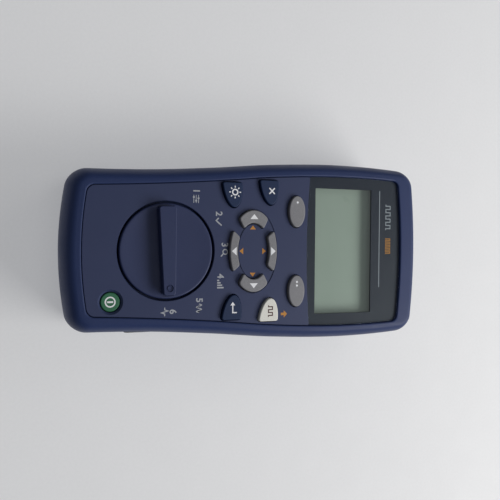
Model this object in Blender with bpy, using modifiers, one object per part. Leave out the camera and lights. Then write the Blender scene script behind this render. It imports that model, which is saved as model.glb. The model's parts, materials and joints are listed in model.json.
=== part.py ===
"""Handheld network cable tester, lying on its back.

+Z comes out of the front face, +Y points to the display end and +X to the user's right. The origin
is on the surface that the back rests on, under the middle of the case. Sizes below are in
millimetres, and every mesh is scaled to metres when it is made.
"""

import math

import bmesh
import bpy
from mathutils import Matrix, Vector

MM = 0.001
GAP = 0.3  # air between neighbouring pieces

# Case outline, seen from the front
LENGTH = 177.0
HALF_WIDTHS = ((-80, 35.65), (-50, 36.35), (-20, 38.45), (10, 41.2), (45, 42.6), (80, 41.2))  # (y, half width)
BOTTOM_END_RADIUS = 155.0
TOP_END_RADIUS = 310.0
CASE_CORNER = 7.5
WALL = 2.0

# Heights above the table
SEAM = 18.0
SHOULDER = 29.5  # where the sides of the front case start to round over
BELLY = 27.5  # where the bottom end reaches farthest
BELLY_LEAN = 0.1  # how far the bottom end draws in below that, per millimetre
RIM_TOP = 38.8
PANEL_TOP = 38.2
RECESS_FLOOR = 36.9
FLOOR_UNDERSIDE = 34.9
BOARD_TOP = 28.0
BOARD_THICK = 1.6
BACK_ROUND = 7.0

# A rail along each side of the rear case
RAIL_ENDS = (-10.5, 52.0)
RAIL_Z = (8.2, 16.6)
RAIL_PROUD = 0.9

# The recess in the front case that holds the face panel and the lens
RECESS_HALF_WIDTHS = ((-80, 28.1), (-50, 29.65), (-20, 31.95), (10, 34.8), (45, 36.2), (80, 34.9))
RECESS_INSETS = (8.35, 10.7)  # from the case's bottom and top ends
RECESS_CORNER = 3.0
LENS_SEAM_Y = 25.5
LENS_SEAM_RADIUS = 425.0
WINDOW = ((-31.6, 28.8), (31.6, 64.0))

# Selector dial
DIAL_Y = -43.15
DIAL_RADIUS = 21.1
DIAL_HOLE_RADIUS = 22.1
DIAL_WELL_RADIUS = 22.6
DIAL_TOP = 38.3
WELL_FLOOR = (31.5, 33.0)
BAR_TOP = 42.7
POINTER_ANGLE = 2.0
DETENTS = 12

# Keys
KEY_TOP = 39.8
KEY_TRAVEL = 0.9
KEY_CLEARANCE = 0.4
FLANGE = (33.2, 34.5)
FLANGE_GROWTH = 0.8
STEM_RADIUS = 2.2
STEM_FOOT = 30.3
ARROW_CENTRE = (0.0, -2.4)
ARROW_OUTER = (18.85, 11.6)
ARROW_INNER = (13.0, 7.75)
POWER_CENTRE = (22.0, -67.7)
POWER_RADIUS = 4.15
POWER_TOP = 37.5

# Battery bay and its door, in the back
BAY_HALF_WIDTH = 30.2
BAY_ENDS = (-72.5, -14.5)
BAY_WALL = 1.5
BAY_ROOF = 18.0
DOOR_THICK = 2.0
DOOR_HINGE_Y = BAY_ENDS[0] + 0.1
TAB_X = 14.9
TAB_TOP = 3.4
EAR_HALF_WIDTH = 6.0
EAR_END = -5.0
DOOR_SCREW_Y = -9.5
CELL_RADIUS = 7.1
CELL_LENGTH = 49.2
CELL_PITCH = 14.9
CELL_Z = 10.1
PLATE = 0.4  # thickness of a battery contact
SPRING_LENGTH = 5.2

# Connector bay, in the top end
CONNECTOR_BAY = ((-29.0, 9.5), (29.0, 27.5))  # (x, z) corners
END_PANEL_Y = (82.4, 84.2)
JACK_X = -11.0
JACK_Z = (12.2, 25.9)
JACK_HALF_WIDTH = 8.0
JACK_Y = (66.5, 85.3)
COAX = (13.5, 18.6)  # (x, z)

# Side port
PORT_Y = -50.3
PORT_Z = 24.2
PORT_HALF = (9.5, 4.0)

SCREW_PLACES = ((-26.5, -79.4), (26.5, -79.4), (-33.5, 74.5), (33.5, 74.5))


def clear_scene():
    for thing in list(bpy.data.objects):
        bpy.data.objects.remove(thing)


def new_collection(name):
    made = bpy.data.collections.new(name)
    bpy.context.scene.collection.children.link(made)
    return made


def new_material(name, colour, roughness, metallic=0.0):
    made = bpy.data.materials.new(name)
    made.use_nodes = True
    made.diffuse_color = (*colour, 1.0)
    shader = made.node_tree.nodes["Principled BSDF"]
    shader.inputs["Base Color"].default_value = (*colour, 1.0)
    shader.inputs["Roughness"].default_value = roughness
    shader.inputs["Metallic"].default_value = metallic
    return made


clear_scene()
PARTS = new_collection("network_cable_tester")
CUTTERS = new_collection("cutters")

NAVY = new_material("navy_case", (0.035, 0.045, 0.10), 0.45)
SLATE = new_material("slate_panel", (0.045, 0.055, 0.11), 0.5)
SMOKE = new_material("smoke_lens", (0.03, 0.035, 0.045), 0.12)
LCD = new_material("lcd_green", (0.24, 0.29, 0.23), 0.25)
GREY_KEY = new_material("grey_key", (0.20, 0.20, 0.21), 0.6)
NAVY_KEY = new_material("navy_key", (0.02, 0.03, 0.075), 0.6)
IVORY_KEY = new_material("ivory_key", (0.62, 0.60, 0.55), 0.6)
GREEN_KEY = new_material("green_key", (0.03, 0.20, 0.09), 0.6)
BLACK = new_material("black_plastic", (0.02, 0.02, 0.022), 0.5)
WHITE = new_material("white_plastic", (0.7, 0.7, 0.68), 0.5)
BOARD = new_material("board_green", (0.02, 0.13, 0.06), 0.4)
SILICONE = new_material("grey_silicone", (0.12, 0.12, 0.13), 0.7)
STEEL = new_material("bright_steel", (0.6, 0.6, 0.6), 0.3, 1.0)
BRASS = new_material("gold_brass", (0.7, 0.5, 0.2), 0.3, 1.0)
CELL = new_material("battery_sleeve", (0.05, 0.05, 0.055), 0.35)


# --- modelling helpers -------------------------------------------------------------------------


def finish(name, shape, look, origin=(0, 0, 0), modifiers=None):
    """Turns a bmesh in millimetres into the object `name`, with its origin at a point in millimetres."""
    bmesh.ops.translate(shape, verts=shape.verts, vec=-Vector(origin))
    bmesh.ops.scale(shape, verts=shape.verts, vec=(MM, MM, MM))
    mesh = bpy.data.meshes.new(name)
    shape.to_mesh(mesh)
    shape.free()
    made = bpy.data.objects.new(name, mesh)
    made.location = Vector(origin) * MM
    if look is None:
        made.hide_render = True
        made.display_type = "WIRE"
        CUTTERS.objects.link(made)
    else:
        mesh.materials.append(look)
        PARTS.objects.link(made)
        mesh.shade_smooth()
        mesh.set_sharp_from_angle(angle=math.radians(35))
    return made


def apply_boolean(target, operation, others):
    for other in others:
        cut = target.modifiers.new(operation.title(), "BOOLEAN")
        cut.operation = operation
        cut.object = other
    return target


def cut(target, *others):
    return apply_boolean(target, "DIFFERENCE", others)


def join(target, *others):
    return apply_boolean(target, "UNION", others)


def box_shape(low, high):
    shape = bmesh.new()
    bmesh.ops.create_cube(shape, size=1.0)
    size = Vector(high) - Vector(low)
    bmesh.ops.scale(shape, verts=shape.verts, vec=size)
    bmesh.ops.translate(shape, verts=shape.verts, vec=(Vector(low) + Vector(high)) / 2)
    return shape


AXIS_TURNS = {
    "Z": Matrix.Identity(3),
    "Y": Matrix.Rotation(math.radians(-90), 3, "X"),
    "X": Matrix.Rotation(math.radians(90), 3, "Y"),
}


def cylinder_shape(centre, radius, start, end, axis="Z", sides=24, far_radius=None):
    """A cylinder, or a cone with far_radius, from start to end along an axis through centre."""
    shape = bmesh.new()
    bmesh.ops.create_cone(
        shape,
        cap_ends=True,
        segments=sides,
        radius1=radius,
        radius2=radius if far_radius is None else far_radius,
        depth=end - start,
    )
    bmesh.ops.rotate(shape, verts=shape.verts, matrix=AXIS_TURNS[axis])
    middle = (start + end) / 2
    place = {
        "Z": (centre[0], centre[1], middle),
        "Y": (centre[0], middle, centre[1]),
        "X": (middle, centre[0], centre[1]),
    }
    bmesh.ops.translate(shape, verts=shape.verts, vec=place[axis])
    return shape


def box(name, low, high, look=None, origin=(0, 0, 0)):
    return finish(name, box_shape(low, high), look, origin)


def cylinder(
    name, centre, radius, start, end, look=None, axis="Z", sides=24, far_radius=None, origin=(0, 0, 0)
):
    return finish(name, cylinder_shape(centre, radius, start, end, axis, sides, far_radius), look, origin)


def prism(name, outline, low, high, look=None, origin=(0, 0, 0)):
    """A flat outline of (x, y) points, extruded from height low to high."""
    shape = bmesh.new()
    face = shape.faces.new([shape.verts.new((x, y, low)) for x, y in outline])
    raised = bmesh.ops.extrude_face_region(shape, geom=[face])
    top = [v for v in raised["geom"] if isinstance(v, bmesh.types.BMVert)]
    bmesh.ops.translate(shape, verts=top, vec=(0, 0, high - low))
    bmesh.ops.recalc_face_normals(shape, faces=shape.faces)
    return finish(name, shape, look, origin)


def loft_shape(rings):
    """A closed skin over rings of equally many (x, y, z) points, capped at the first and last ring."""
    shape = bmesh.new()
    loops = [[shape.verts.new(p) for p in ring] for ring in rings]
    count = len(loops[0])
    for lower, upper in zip(loops, loops[1:]):
        for i in range(count):
            j = (i + 1) % count
            shape.faces.new((lower[i], lower[j], upper[j], upper[i]))
    shape.faces.new(loops[0][::-1])
    shape.faces.new(loops[-1])
    bmesh.ops.recalc_face_normals(shape, faces=shape.faces)
    return shape


def coil_rings(turns, points_a_turn, length, radii, wire, sides):
    """Wire cross-sections along a coil, as (along, across, up) points; radii are its first and last turns."""
    rings = []
    count = turns * points_a_turn
    for i in range(count + 1):
        share = i / count
        angle = 2 * math.pi * i / points_a_turn
        radius = radii[0] + (radii[1] - radii[0]) * share
        ring = []
        for k in range(sides):
            turn = 2 * math.pi * k / sides
            reach = radius + wire * math.cos(turn)
            along = length * share + wire * math.sin(turn)
            ring.append((along, reach * math.cos(angle), reach * math.sin(angle)))
        rings.append(ring)
    return rings


def level(outline, z):
    return [(x, y, z) for x, y in outline]


def turned(name, profile, look, centre, steps=32):
    """A profile of (radius, height) points, turned about a vertical axis by a Screw modifier."""
    shape = bmesh.new()
    points = [shape.verts.new((r, 0, z)) for r, z in profile]
    for a, b in zip(points, points[1:]):
        shape.edges.new((a, b))
    bmesh.ops.translate(shape, verts=shape.verts, vec=(centre[0], centre[1], 0))
    made = finish(name, shape, look, origin=(centre[0], centre[1], 0))
    screw = made.modifiers.new("Turn", "SCREW")
    screw.steps = screw.render_steps = steps
    screw.use_merge_vertices = True
    screw.merge_threshold = 0.00001
    return made


def offset(outline, distance):
    """A counterclockwise outline moved outwards by a distance, with its corners mitred."""
    moved = []
    count = len(outline)
    for i, point in enumerate(outline):
        before = Vector(point) - Vector(outline[i - 1])
        after = Vector(outline[(i + 1) % count]) - Vector(point)
        first = Vector((before.y, -before.x)).normalized()
        second = Vector((after.y, -after.x)).normalized()
        miter = (first + second) / (1 + first.dot(second))
        moved.append((point[0] + miter.x * distance, point[1] + miter.y * distance))
    return moved


def ellipse(centre, radii, start=0.0, end=360.0, steps=24, closed=True):
    """Points on an ellipse from one angle to another, in degrees."""
    count = steps if closed else steps + 1
    angles = [math.radians(start + (end - start) * i / steps) for i in range(count)]
    return [(centre[0] + radii[0] * math.cos(a), centre[1] + radii[1] * math.sin(a)) for a in angles]


def rounded_rectangle(centre, half, corner, steps=3):
    corners = ((1, 1, 0), (-1, 1, 90), (-1, -1, 180), (1, -1, 270))
    points = []
    for sx, sy, start in corners:
        middle = (centre[0] + sx * (half[0] - corner), centre[1] + sy * (half[1] - corner))
        points += ellipse(middle, (corner, corner), start, start + 90, steps, closed=False)
    return points


# --- case outline --------------------------------------------------------------------------------


def half_width(y, knots=HALF_WIDTHS):
    """Half the case's width at y: a smooth curve through the knots."""
    slopes = [(b[1] - a[1]) / (b[0] - a[0]) for a, b in zip(knots, knots[1:])]
    inner = [(c[1] - a[1]) / (c[0] - a[0]) for a, c in zip(knots, knots[2:])]
    tangents = [2 * slopes[0] - inner[0], *inner, 2 * slopes[-1] - inner[-1]]
    if y <= knots[0][0]:
        return knots[0][1] + tangents[0] * (y - knots[0][0])
    if y >= knots[-1][0]:
        return knots[-1][1] + tangents[-1] * (y - knots[-1][0])
    i = next(n for n in range(len(slopes)) if y <= knots[n + 1][0])
    (y0, w0), (y1, w1) = knots[i], knots[i + 1]
    span = y1 - y0
    t = (y - y0) / span
    return (
        w0 * (1 + 2 * t) * (1 - t) ** 2
        + tangents[i] * span * t * (1 - t) ** 2
        + w1 * t * t * (3 - 2 * t)
        + tangents[i + 1] * span * t * t * (t - 1)
    )


def bottom_end(inset):
    return lambda x: -LENGTH / 2 + inset + x * x / (2 * BOTTOM_END_RADIUS)


def top_end(inset):
    return lambda x: LENGTH / 2 - inset - x * x / (2 * TOP_END_RADIUS)


def lens_seam(shift):
    return lambda x: LENS_SEAM_Y + shift + x * x / (2 * LENS_SEAM_RADIUS)


def corner_curve(start, apex, end, steps=4):
    """Points strictly between start and end on a near-circular corner that turns at apex."""
    pull = 0.5523
    first = Vector(start).lerp(Vector(apex), pull)
    second = Vector(end).lerp(Vector(apex), pull)
    points = []
    for i in range(1, steps):
        t = i / steps
        point = (
            Vector(start) * (1 - t) ** 3
            + first * 3 * t * (1 - t) ** 2
            + second * 3 * t * t * (1 - t)
            + Vector(end) * t**3
        )
        points.append(tuple(point))
    return points


def case_outline(side, low_end, high_end, corners=(CASE_CORNER, CASE_CORNER), knots=HALF_WIDTHS):
    """A counterclockwise outline between two end curves, inset from the sides that the knots give."""
    side_steps, end_steps = 9, 3
    low_corner, high_corner = corners

    def edge(y):
        return half_width(y, knots) - side

    def apex(end):
        x = edge(end(0))
        return edge(end(x)), end(x)

    low_x, low_y = apex(low_end)
    high_x, high_y = apex(high_end)
    side_low, side_high = low_y + low_corner, high_y - high_corner
    right = []
    for i in range(end_steps + 1):
        x = (low_x - low_corner) * i / end_steps
        right.append((x, low_end(x)))
    right += corner_curve(right[-1], (low_x, low_y), (edge(side_low), side_low))
    for i in range(side_steps + 1):
        y = side_low + (side_high - side_low) * i / side_steps
        right.append((edge(y), y))
    top_start = (high_x - high_corner, high_end(high_x - high_corner))
    right += corner_curve(right[-1], (high_x, high_y), top_start)
    for i in range(end_steps + 1):
        x = (high_x - high_corner) * (1 - i / end_steps)
        right.append((x, high_end(x)))
    left = [(-x, y) for x, y in right[-2:0:-1]]
    return right + left


def inset_outline(side, bottom=None, top=None):
    """The case outline, moved in by a distance at the sides, and its own distance at each end."""
    bottom = side if bottom is None else bottom
    top = side if top is None else top
    corner = max(CASE_CORNER - 0.7 * side, RECESS_CORNER)
    return case_outline(side, bottom_end(bottom), top_end(top), (corner, corner))


def recess_outline(inset, low_end=None, high_end=None, corners=(RECESS_CORNER, RECESS_CORNER)):
    """The outline of the recess, moved in by a distance, and cut short at either end if asked."""
    low_end = low_end or bottom_end(RECESS_INSETS[0] + inset)
    high_end = high_end or top_end(RECESS_INSETS[1] + inset)
    return case_outline(inset, low_end, high_end, corners, RECESS_HALF_WIDTHS)


def belly_inset(z):
    """How far the bottom end has drawn in at a height: a full curve above the belly, a lean below it."""
    if z <= BELLY:
        return (BELLY - z) * BELLY_LEAN
    rise = min((z - BELLY) / (RIM_TOP - 0.1 - BELLY), 1.0)
    return 7.2 * (1 - (1 - rise**2.3) ** (1 / 2.3))


# --- key outlines --------------------------------------------------------------------------------


def arrow_outline(middle, reach, steps=6):
    """A segment of the oval arrow ring, centred on an angle and reaching that many degrees each way."""
    outer = ellipse(ARROW_CENTRE, ARROW_OUTER, middle - reach, middle + reach, steps, closed=False)
    inner = ellipse(ARROW_CENTRE, ARROW_INNER, middle + reach, middle - reach, steps, closed=False)
    return outer + inner


def shield_outline(edge_x, middle_y, depth=11.3, half=4.75, lean=1.2, steps=12):
    """A flat edge towards the case's side, and a leaning half-oval towards its middle."""
    inwards = -1 if edge_x > 0 else 1
    points = []
    for i in range(steps + 1):
        a = math.pi * i / steps
        points.append(
            (edge_x + inwards * depth * math.sin(a), middle_y + half * math.cos(a) + lean * math.sin(a))
        )
    return points if inwards < 0 else points[::-1]


KEYS = {
    "key_soft_left": (ellipse((-18.7, 19.55), (7.35, 4.15)), (-18.7, 19.55), GREY_KEY),
    "key_soft_right": (ellipse((18.8, 19.55), (7.35, 4.15)), (18.8, 19.55), GREY_KEY),
    "key_arrow_right": (arrow_outline(0, 38), (16.05, -2.4), GREY_KEY),
    "key_arrow_up": (arrow_outline(90, 30), (0.0, 7.3), GREY_KEY),
    "key_arrow_left": (arrow_outline(180, 38), (-16.05, -2.4), GREY_KEY),
    "key_arrow_down": (arrow_outline(270, 30), (0.0, -12.1), GREY_KEY),
    "key_backlight": (shield_outline(-31.3, -12.9), (-27.0, -12.5), NAVY_KEY),
    "key_exit": (shield_outline(-32.9, 5.25), (-28.3, 5.6), NAVY_KEY),
    "key_enter": (shield_outline(31.3, -12.9), (27.0, -12.5), NAVY_KEY),
    "key_test": (shield_outline(32.6, 5.3, depth=10.6), (28.3, 5.7), IVORY_KEY),
    "key_power": (ellipse(POWER_CENTRE, (POWER_RADIUS, POWER_RADIUS), steps=20), POWER_CENTRE, GREEN_KEY),
}


# --- case ----------------------------------------------------------------------------------------


def front_case():
    rings = [
        level(recess_outline(0), RECESS_FLOOR),
        level(recess_outline(0), RIM_TOP - 0.2),
        level(recess_outline(-0.5), RIM_TOP),
    ]
    steps = 6
    for i in range(steps, -1, -1):
        turn = math.radians(90 * i / steps)
        share = 1 - math.cos(turn)
        z = SHOULDER + (RIM_TOP - 0.1 - SHOULDER) * math.sin(turn)
        rings.append(level(inset_outline(5.3 * share, belly_inset(z), 4.4 * share), z))
    seam = SEAM + GAP / 2
    rings += [
        level(inset_outline(0), BELLY),
        level(inset_outline(0, belly_inset(seam), 0), seam),
        level(inset_outline(WALL, WALL + belly_inset(seam), WALL), seam),
        level(inset_outline(WALL + 0.1, WALL + 0.5), 29.5),
        level(inset_outline(4.0, 4.6, 4.6), 33.6),
        level(inset_outline(7.2, 9.6, 12.6), FLOOR_UNDERSIDE),
    ]
    case = finish("front_case", loft_shape(rings), NAVY)
    (x0, z0), (x1, z1) = CONNECTOR_BAY
    join(
        case,
        cylinder("dial_well", (0, DIAL_Y), DIAL_WELL_RADIUS + 1.5, WELL_FLOOR[0], RECESS_FLOOR - 1, sides=40),
        box("bay_block_front", (x0 - 2, 84.5, seam), (x1 + 2, 87.2, z1 + 2)),
    )
    for i, (x, y) in enumerate(SCREW_PLACES):
        join(case, cylinder(f"front_boss_{i}", (x, y), 3.2, 20.0, FLOOR_UNDERSIDE + 1, sides=16))
    cut(
        case,
        cylinder("dial_well_cut", (0, DIAL_Y), DIAL_WELL_RADIUS, WELL_FLOOR[1], RIM_TOP, sides=40),
        cylinder("dial_hub_cut", (0, DIAL_Y), 5.4, 30, 36, sides=24),
        box("window_cut", (*WINDOW[0], 33), (*WINDOW[1], 38)),
        box("bay_cut_front", (x0, 80, z0), (x1, 95, z1)),
        box("port_hole_cut", (30, PORT_Y - 4.8, PORT_Z - 2.6), (40, PORT_Y + 4.8, PORT_Z + 2.6)),
        port_recess_cutter(),
    )
    for name, (outline, _, _) in KEYS.items():
        cut(case, prism(f"{name}_case_cut", offset(outline, KEY_CLEARANCE), 33, 38))
    for i, (x, y) in enumerate(SCREW_PLACES):
        cut(case, cylinder(f"front_boss_cut_{i}", (x, y), 1.7, 18, 31.5, sides=12))
    return case


def port_recess_cutter():
    """The shallow seat for the port cover, sunk into the right side of the front case."""
    outline = rounded_rectangle((PORT_Y, PORT_Z), (PORT_HALF[0] + GAP, PORT_HALF[1] + GAP), 2.0)
    shape = loft_shape([[(x, y, z) for y, z in outline] for x in (34.7, 40.0)])
    return finish("port_seat_cut", shape, None)


def rear_case():
    seam = SEAM - GAP / 2

    def ring(inset, z):
        return level(inset_outline(inset, inset + belly_inset(z), inset), z)

    rings = [ring(5.6, WALL), ring(2.9, 4.6), ring(WALL, 9.0), ring(WALL, seam), ring(0, seam)]
    steps = 4
    for i in range(steps + 1):
        turn = math.radians(90 * i / steps)
        inset = 4.7 * (1 - math.cos(turn))
        lean = belly_inset(BACK_ROUND)
        rings.append(level(inset_outline(inset, inset + lean, inset), BACK_ROUND * (1 - math.sin(turn))))
    case = finish("rear_case", loft_shape(rings), NAVY)
    (x0, z0), (x1, z1) = CONNECTOR_BAY
    y0, y1 = BAY_ENDS
    outer = BAY_HALF_WIDTH + BAY_WALL
    join(
        case,
        box("bay_body", (-outer, y0 - BAY_WALL, 0.8), (outer, y1 + BAY_WALL, BAY_ROOF + BAY_WALL)),
        box("door_boss_web", (-3.5, y1, DOOR_THICK + GAP), (3.5, DOOR_SCREW_Y, 16)),
        cylinder("door_boss", (0, DOOR_SCREW_Y), 4.2, DOOR_THICK + GAP, 16, sides=20),
        box("bay_block_rear", (x0 - 2, 84.5, z0 - 2), (x1 + 2, 87.2, seam)),
    )
    for i, (x, y) in enumerate(SCREW_PLACES):
        join(case, cylinder(f"rear_boss_{i}", (x, y), 4.3, 1.0, seam - 0.2, sides=16))
    for sign in (-1, 1):
        join(case, side_rail(sign))
    cut(
        case,
        box("bay_inside", (-BAY_HALF_WIDTH, y0, -2), (BAY_HALF_WIDTH, y1, BAY_ROOF)),
        ear_opening(),
        cylinder("door_boss_hole", (0, DOOR_SCREW_Y), 2.0, 1, 9, sides=16),
        box("bay_cut_rear", (x0, 80, z0), (x1, 95, z1)),
    )
    for sign in (-1, 1):
        x = sign * TAB_X
        cut(case, box(f"tab_slot_{sign}", (x - 4.4, y0 - 4, DOOR_THICK), (x + 4.4, y0 + 1, 5.2)))
    for i, (x, y) in enumerate(SCREW_PLACES):
        cut(
            case,
            cylinder(f"counterbore_{i}", (x, y), 3.0, -2, 11.0, sides=16),
            cylinder(f"rear_boss_cut_{i}", (x, y), 1.8, 5, 20, sides=12),
        )
    return case


def ear_opening():
    half = EAR_HALF_WIDTH + GAP
    return box("ear_opening", (-half, BAY_ENDS[1] - 1, -2), (half, EAR_END + GAP, DOOR_THICK + GAP))


def side_rail(sign):
    """A rail along the side of the rear case: it steps out below the grip, and fades into the head."""
    low, high = RAIL_Z
    start, end = RAIL_ENDS
    rings = []
    steps = 6
    for i in range(steps + 1):
        y = start + (end - start) * i / steps
        inside = half_width(y) - 1.0
        outside = half_width(y) + RAIL_PROUD * (1 - i / steps) - 0.05
        rings.append(
            [
                (sign * x, y, z)
                for x, z in ((inside, low), (outside, low + 0.6), (outside, high - 0.6), (inside, high))
            ]
        )
    return finish(f"side_rail_{sign}", loft_shape(rings), None)


def face_panel():
    outline = recess_outline(GAP, high_end=lens_seam(-GAP / 2), corners=(RECESS_CORNER, 0.6))
    panel = prism("face_panel", outline, RECESS_FLOOR + GAP, PANEL_TOP, SLATE)
    cut(panel, cylinder("dial_panel_cut", (0, DIAL_Y), DIAL_HOLE_RADIUS, 36, 40, sides=48))
    for name, (key, _, _) in KEYS.items():
        cut(panel, prism(f"{name}_panel_cut", offset(key, KEY_CLEARANCE), 36, 40))
    return panel


def display_lens():
    outline = recess_outline(GAP, low_end=lens_seam(GAP / 2), corners=(0.6, RECESS_CORNER))
    return prism("display_lens", outline, RECESS_FLOOR + GAP, PANEL_TOP + 0.1, SMOKE)


def case_screw(number, place):
    x, y = place
    head = cylinder(f"case_screw_{number}", place, 2.6, 8.4, 10.7, STEEL, sides=16)
    join(head, cylinder(f"case_screw_shank_{number}", place, 1.4, 10.0, 30.0, sides=12))
    return cut(head, box(f"case_screw_slot_{number}", (x - 0.4, y - 3, 8), (x + 0.4, y + 3, 9.2)))


# --- display -------------------------------------------------------------------------------------


def display_stack():
    (x0, y0), (x1, y1) = WINDOW
    glass = ((-33.5, 26.5), (33.5, 67.0))
    box("lcd_backlight", (*glass[0], BOARD_TOP + 0.9), (*glass[1], 30.8), WHITE)
    box("lcd_glass", (*glass[0], 31.1), (*glass[1], 33.2), LCD)
    frame = box("lcd_frame", (x0 + GAP, y0 + GAP, 33.5), (x1 - GAP, y1 - GAP, RECESS_FLOOR), BLACK)
    cut(frame, box("lcd_frame_cut", (x0 + 1.1, y0 + 1.1, 33), (x1 - 1.1, y1 - 1.1, 38)))
    box("lcd_connector", (-28, 68.0, BOARD_TOP + GAP), (28, 70.4, 33.0), SILICONE)


# --- selector ------------------------------------------------------------------------------------


def bar_outline():
    """The knob's grip seen from above: wide at its tail, narrow at its pointer end, with rounded ends."""
    tail, tip = -19.7, 19.4
    corner = 1.3
    points = []
    for x, y, start in ((tip, 2.6, 0), (tail, 4.1, 90), (tail, -3.9, 180), (tip, -3.0, 270)):
        middle = (x - math.copysign(corner, x), y - math.copysign(corner, y))
        points += ellipse(middle, (corner, corner), start, start + 90, 3, closed=False)
    turn = Matrix.Rotation(math.radians(POINTER_ANGLE), 2)
    return [tuple(turn @ Vector(p) + Vector((0, DIAL_Y))) for p in points]


def selector():
    centre = (0, DIAL_Y)
    knob = turned(
        "selector_knob",
        (
            (0, 37.7),
            (14.0, 37.8),
            (19.9, DIAL_TOP),
            (20.6, DIAL_TOP - 0.15),
            (DIAL_RADIUS, DIAL_TOP - 0.6),
            (DIAL_RADIUS, 33.9),
            (19.4, 33.9),
            (19.4, 36.0),
            (5.0, 36.0),
            (5.0, 31.3),
            (3.4, 31.3),
            (3.4, 35.4),
            (0, 35.4),
        ),
        NAVY,
        centre,
        steps=48,
    )
    grip = bar_outline()
    rings = [
        level(grip, 36.6),
        level(grip, BAR_TOP - 0.9),
        level(offset(grip, -0.25), BAR_TOP - 0.3),
        level(offset(grip, -0.9), BAR_TOP),
    ]
    join(knob, finish("selector_grip", loft_shape(rings), None))
    dot = Matrix.Rotation(math.radians(POINTER_ANGLE), 2) @ Vector((16.2, -0.2)) + Vector(centre)
    cut(knob, cylinder("pointer_dimple", dot, 1.5, BAR_TOP - 0.5, BAR_TOP + 1, sides=16))

    rotor = cylinder("selector_rotor", centre, 14.6, 29.1, 31.0, BLACK, sides=40, origin=(0, DIAL_Y, 0))
    join(rotor, cylinder("rotor_boss", centre, 3.1, 30.5, 35.0, sides=20))
    cut(rotor, cylinder("rotor_bore", centre, 1.6, 28, 34, sides=16))
    for sign in (-1, 1):
        x = sign * 11.8
        cut(rotor, box(f"ball_pocket_{sign}", (x - 3.6, DIAL_Y - 1.7, 28), (x + 3.6, DIAL_Y + 1.7, 32)))
        ball = bmesh.new()
        bmesh.ops.create_uvsphere(ball, u_segments=14, v_segments=8, radius=1.35)
        bmesh.ops.translate(ball, verts=ball.verts, vec=(sign * 14.5, DIAL_Y, 30.05))
        finish(f"detent_ball_{'left' if sign < 0 else 'right'}", ball, STEEL, (0, DIAL_Y, 0))
        detent_spring(sign)

    low, high = (-11.5, DIAL_Y - 3.2, 28.5), (11.5, DIAL_Y + 3.2, 28.8)
    plate = box("selector_wiper", low, high, BRASS, (0, DIAL_Y, 0))
    cut(plate, cylinder("wiper_hole", centre, 2.6, 28, 30, sides=16))
    screw = cylinder("selector_screw", centre, 2.3, 27.2, 28.2, STEEL, sides=16, origin=(0, DIAL_Y, 0))
    join(screw, cylinder("selector_screw_shank", centre, 1.2, 27.9, 33.4, sides=12))
    cut(screw, box("selector_screw_slot", (-3, DIAL_Y - 0.35, 27), (3, DIAL_Y + 0.35, 27.6)))
    detent_ring()


def detent_spring(sign):
    """A short coil behind each detent ball, along X."""
    rings = coil_rings(3, 7, 3.5, (1.0, 1.0), 0.2, 4)
    centre = (0, DIAL_Y)
    placed = []
    for ring in rings:
        placed.append([(sign * (8.9 + along), DIAL_Y + across, 30.05 + up) for along, across, up in ring])
    finish(f"detent_spring_{'left' if sign < 0 else 'right'}", loft_shape(placed), STEEL, (*centre, 0))


def detent_ring():
    """A fixed ring with a notch every 30 degrees on its inner face, which the balls click into."""
    outline = []
    steps = DETENTS * 4
    for i in range(steps):
        angle = math.radians(360 * i / steps)
        radius = 17.2 if i % 4 == 0 else 16.9 if i % 2 else 16.6
        outline.append((radius * math.cos(angle), DIAL_Y + radius * math.sin(angle)))
    ring = cylinder("detent_ring", (0, DIAL_Y), 19.5, 29.1, 31.2, BLACK, sides=40)
    return cut(ring, prism("detent_ring_cut", outline, 28, 33))


# --- keypad --------------------------------------------------------------------------------------


def key(name, outline, stem, look):
    """A keycap that stands in its hole, with a retaining flange under the case and a stem over its dome."""
    top = POWER_TOP if name == "key_power" else KEY_TOP
    rings = [
        level(offset(outline, FLANGE_GROWTH), FLANGE[0]),
        level(offset(outline, FLANGE_GROWTH), FLANGE[1]),
        level(outline, FLANGE[1]),
        level(outline, top - 0.5),
        level(offset(outline, -0.15), top - 0.15),
        level(offset(outline, -0.5), top),
    ]
    cap = finish(name, loft_shape(rings), look, (*stem, 0))
    return join(cap, cylinder(f"{name}_stem", stem, STEM_RADIUS, STEM_FOOT, FLANGE[0] + 0.6, sides=12))


def keypad():
    for name, (outline, stem, look) in KEYS.items():
        key(name, outline, stem, look)
    mat_low, mat_high = (-34.0, -18.4), (34.0, 26.0)
    mat = box("keypad_mat", (*mat_low, BOARD_TOP + 0.9), (*mat_high, 31.9), SILICONE)
    hollow_low = (mat_low[0] + 1.5, mat_low[1] + 1.5, 28)
    cut(mat, box("mat_hollow", hollow_low, (mat_high[0] - 1.5, mat_high[1] - 1.5, 30.7)))
    sheet = box("dome_sheet", (*mat_low, BOARD_TOP + GAP), (*mat_high, BOARD_TOP + 0.6), STEEL)
    for name, (_, stem, _) in KEYS.items():
        if name == "key_power":
            continue
        cut(mat, cylinder(f"{name}_mat_cut", stem, STEM_RADIUS + 0.4, 28, 33, sides=12))
        low, high = BOARD_TOP + 0.4, BOARD_TOP + 0.95
        join(sheet, cylinder(f"{name}_dome", stem, 2.6, low, high, sides=12, far_radius=1.4))
    low, high = POWER_CENTRE[0] - 4.5, POWER_CENTRE[1] - 4.5
    switch = box("power_switch", (low, high, BOARD_TOP + GAP), (low + 9, high + 9, BOARD_TOP + 0.9), BLACK)
    join(switch, cylinder("power_dome", POWER_CENTRE, 2.6, BOARD_TOP + 0.6, BOARD_TOP + 1.1, sides=12))


# --- electronics ---------------------------------------------------------------------------------


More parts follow.
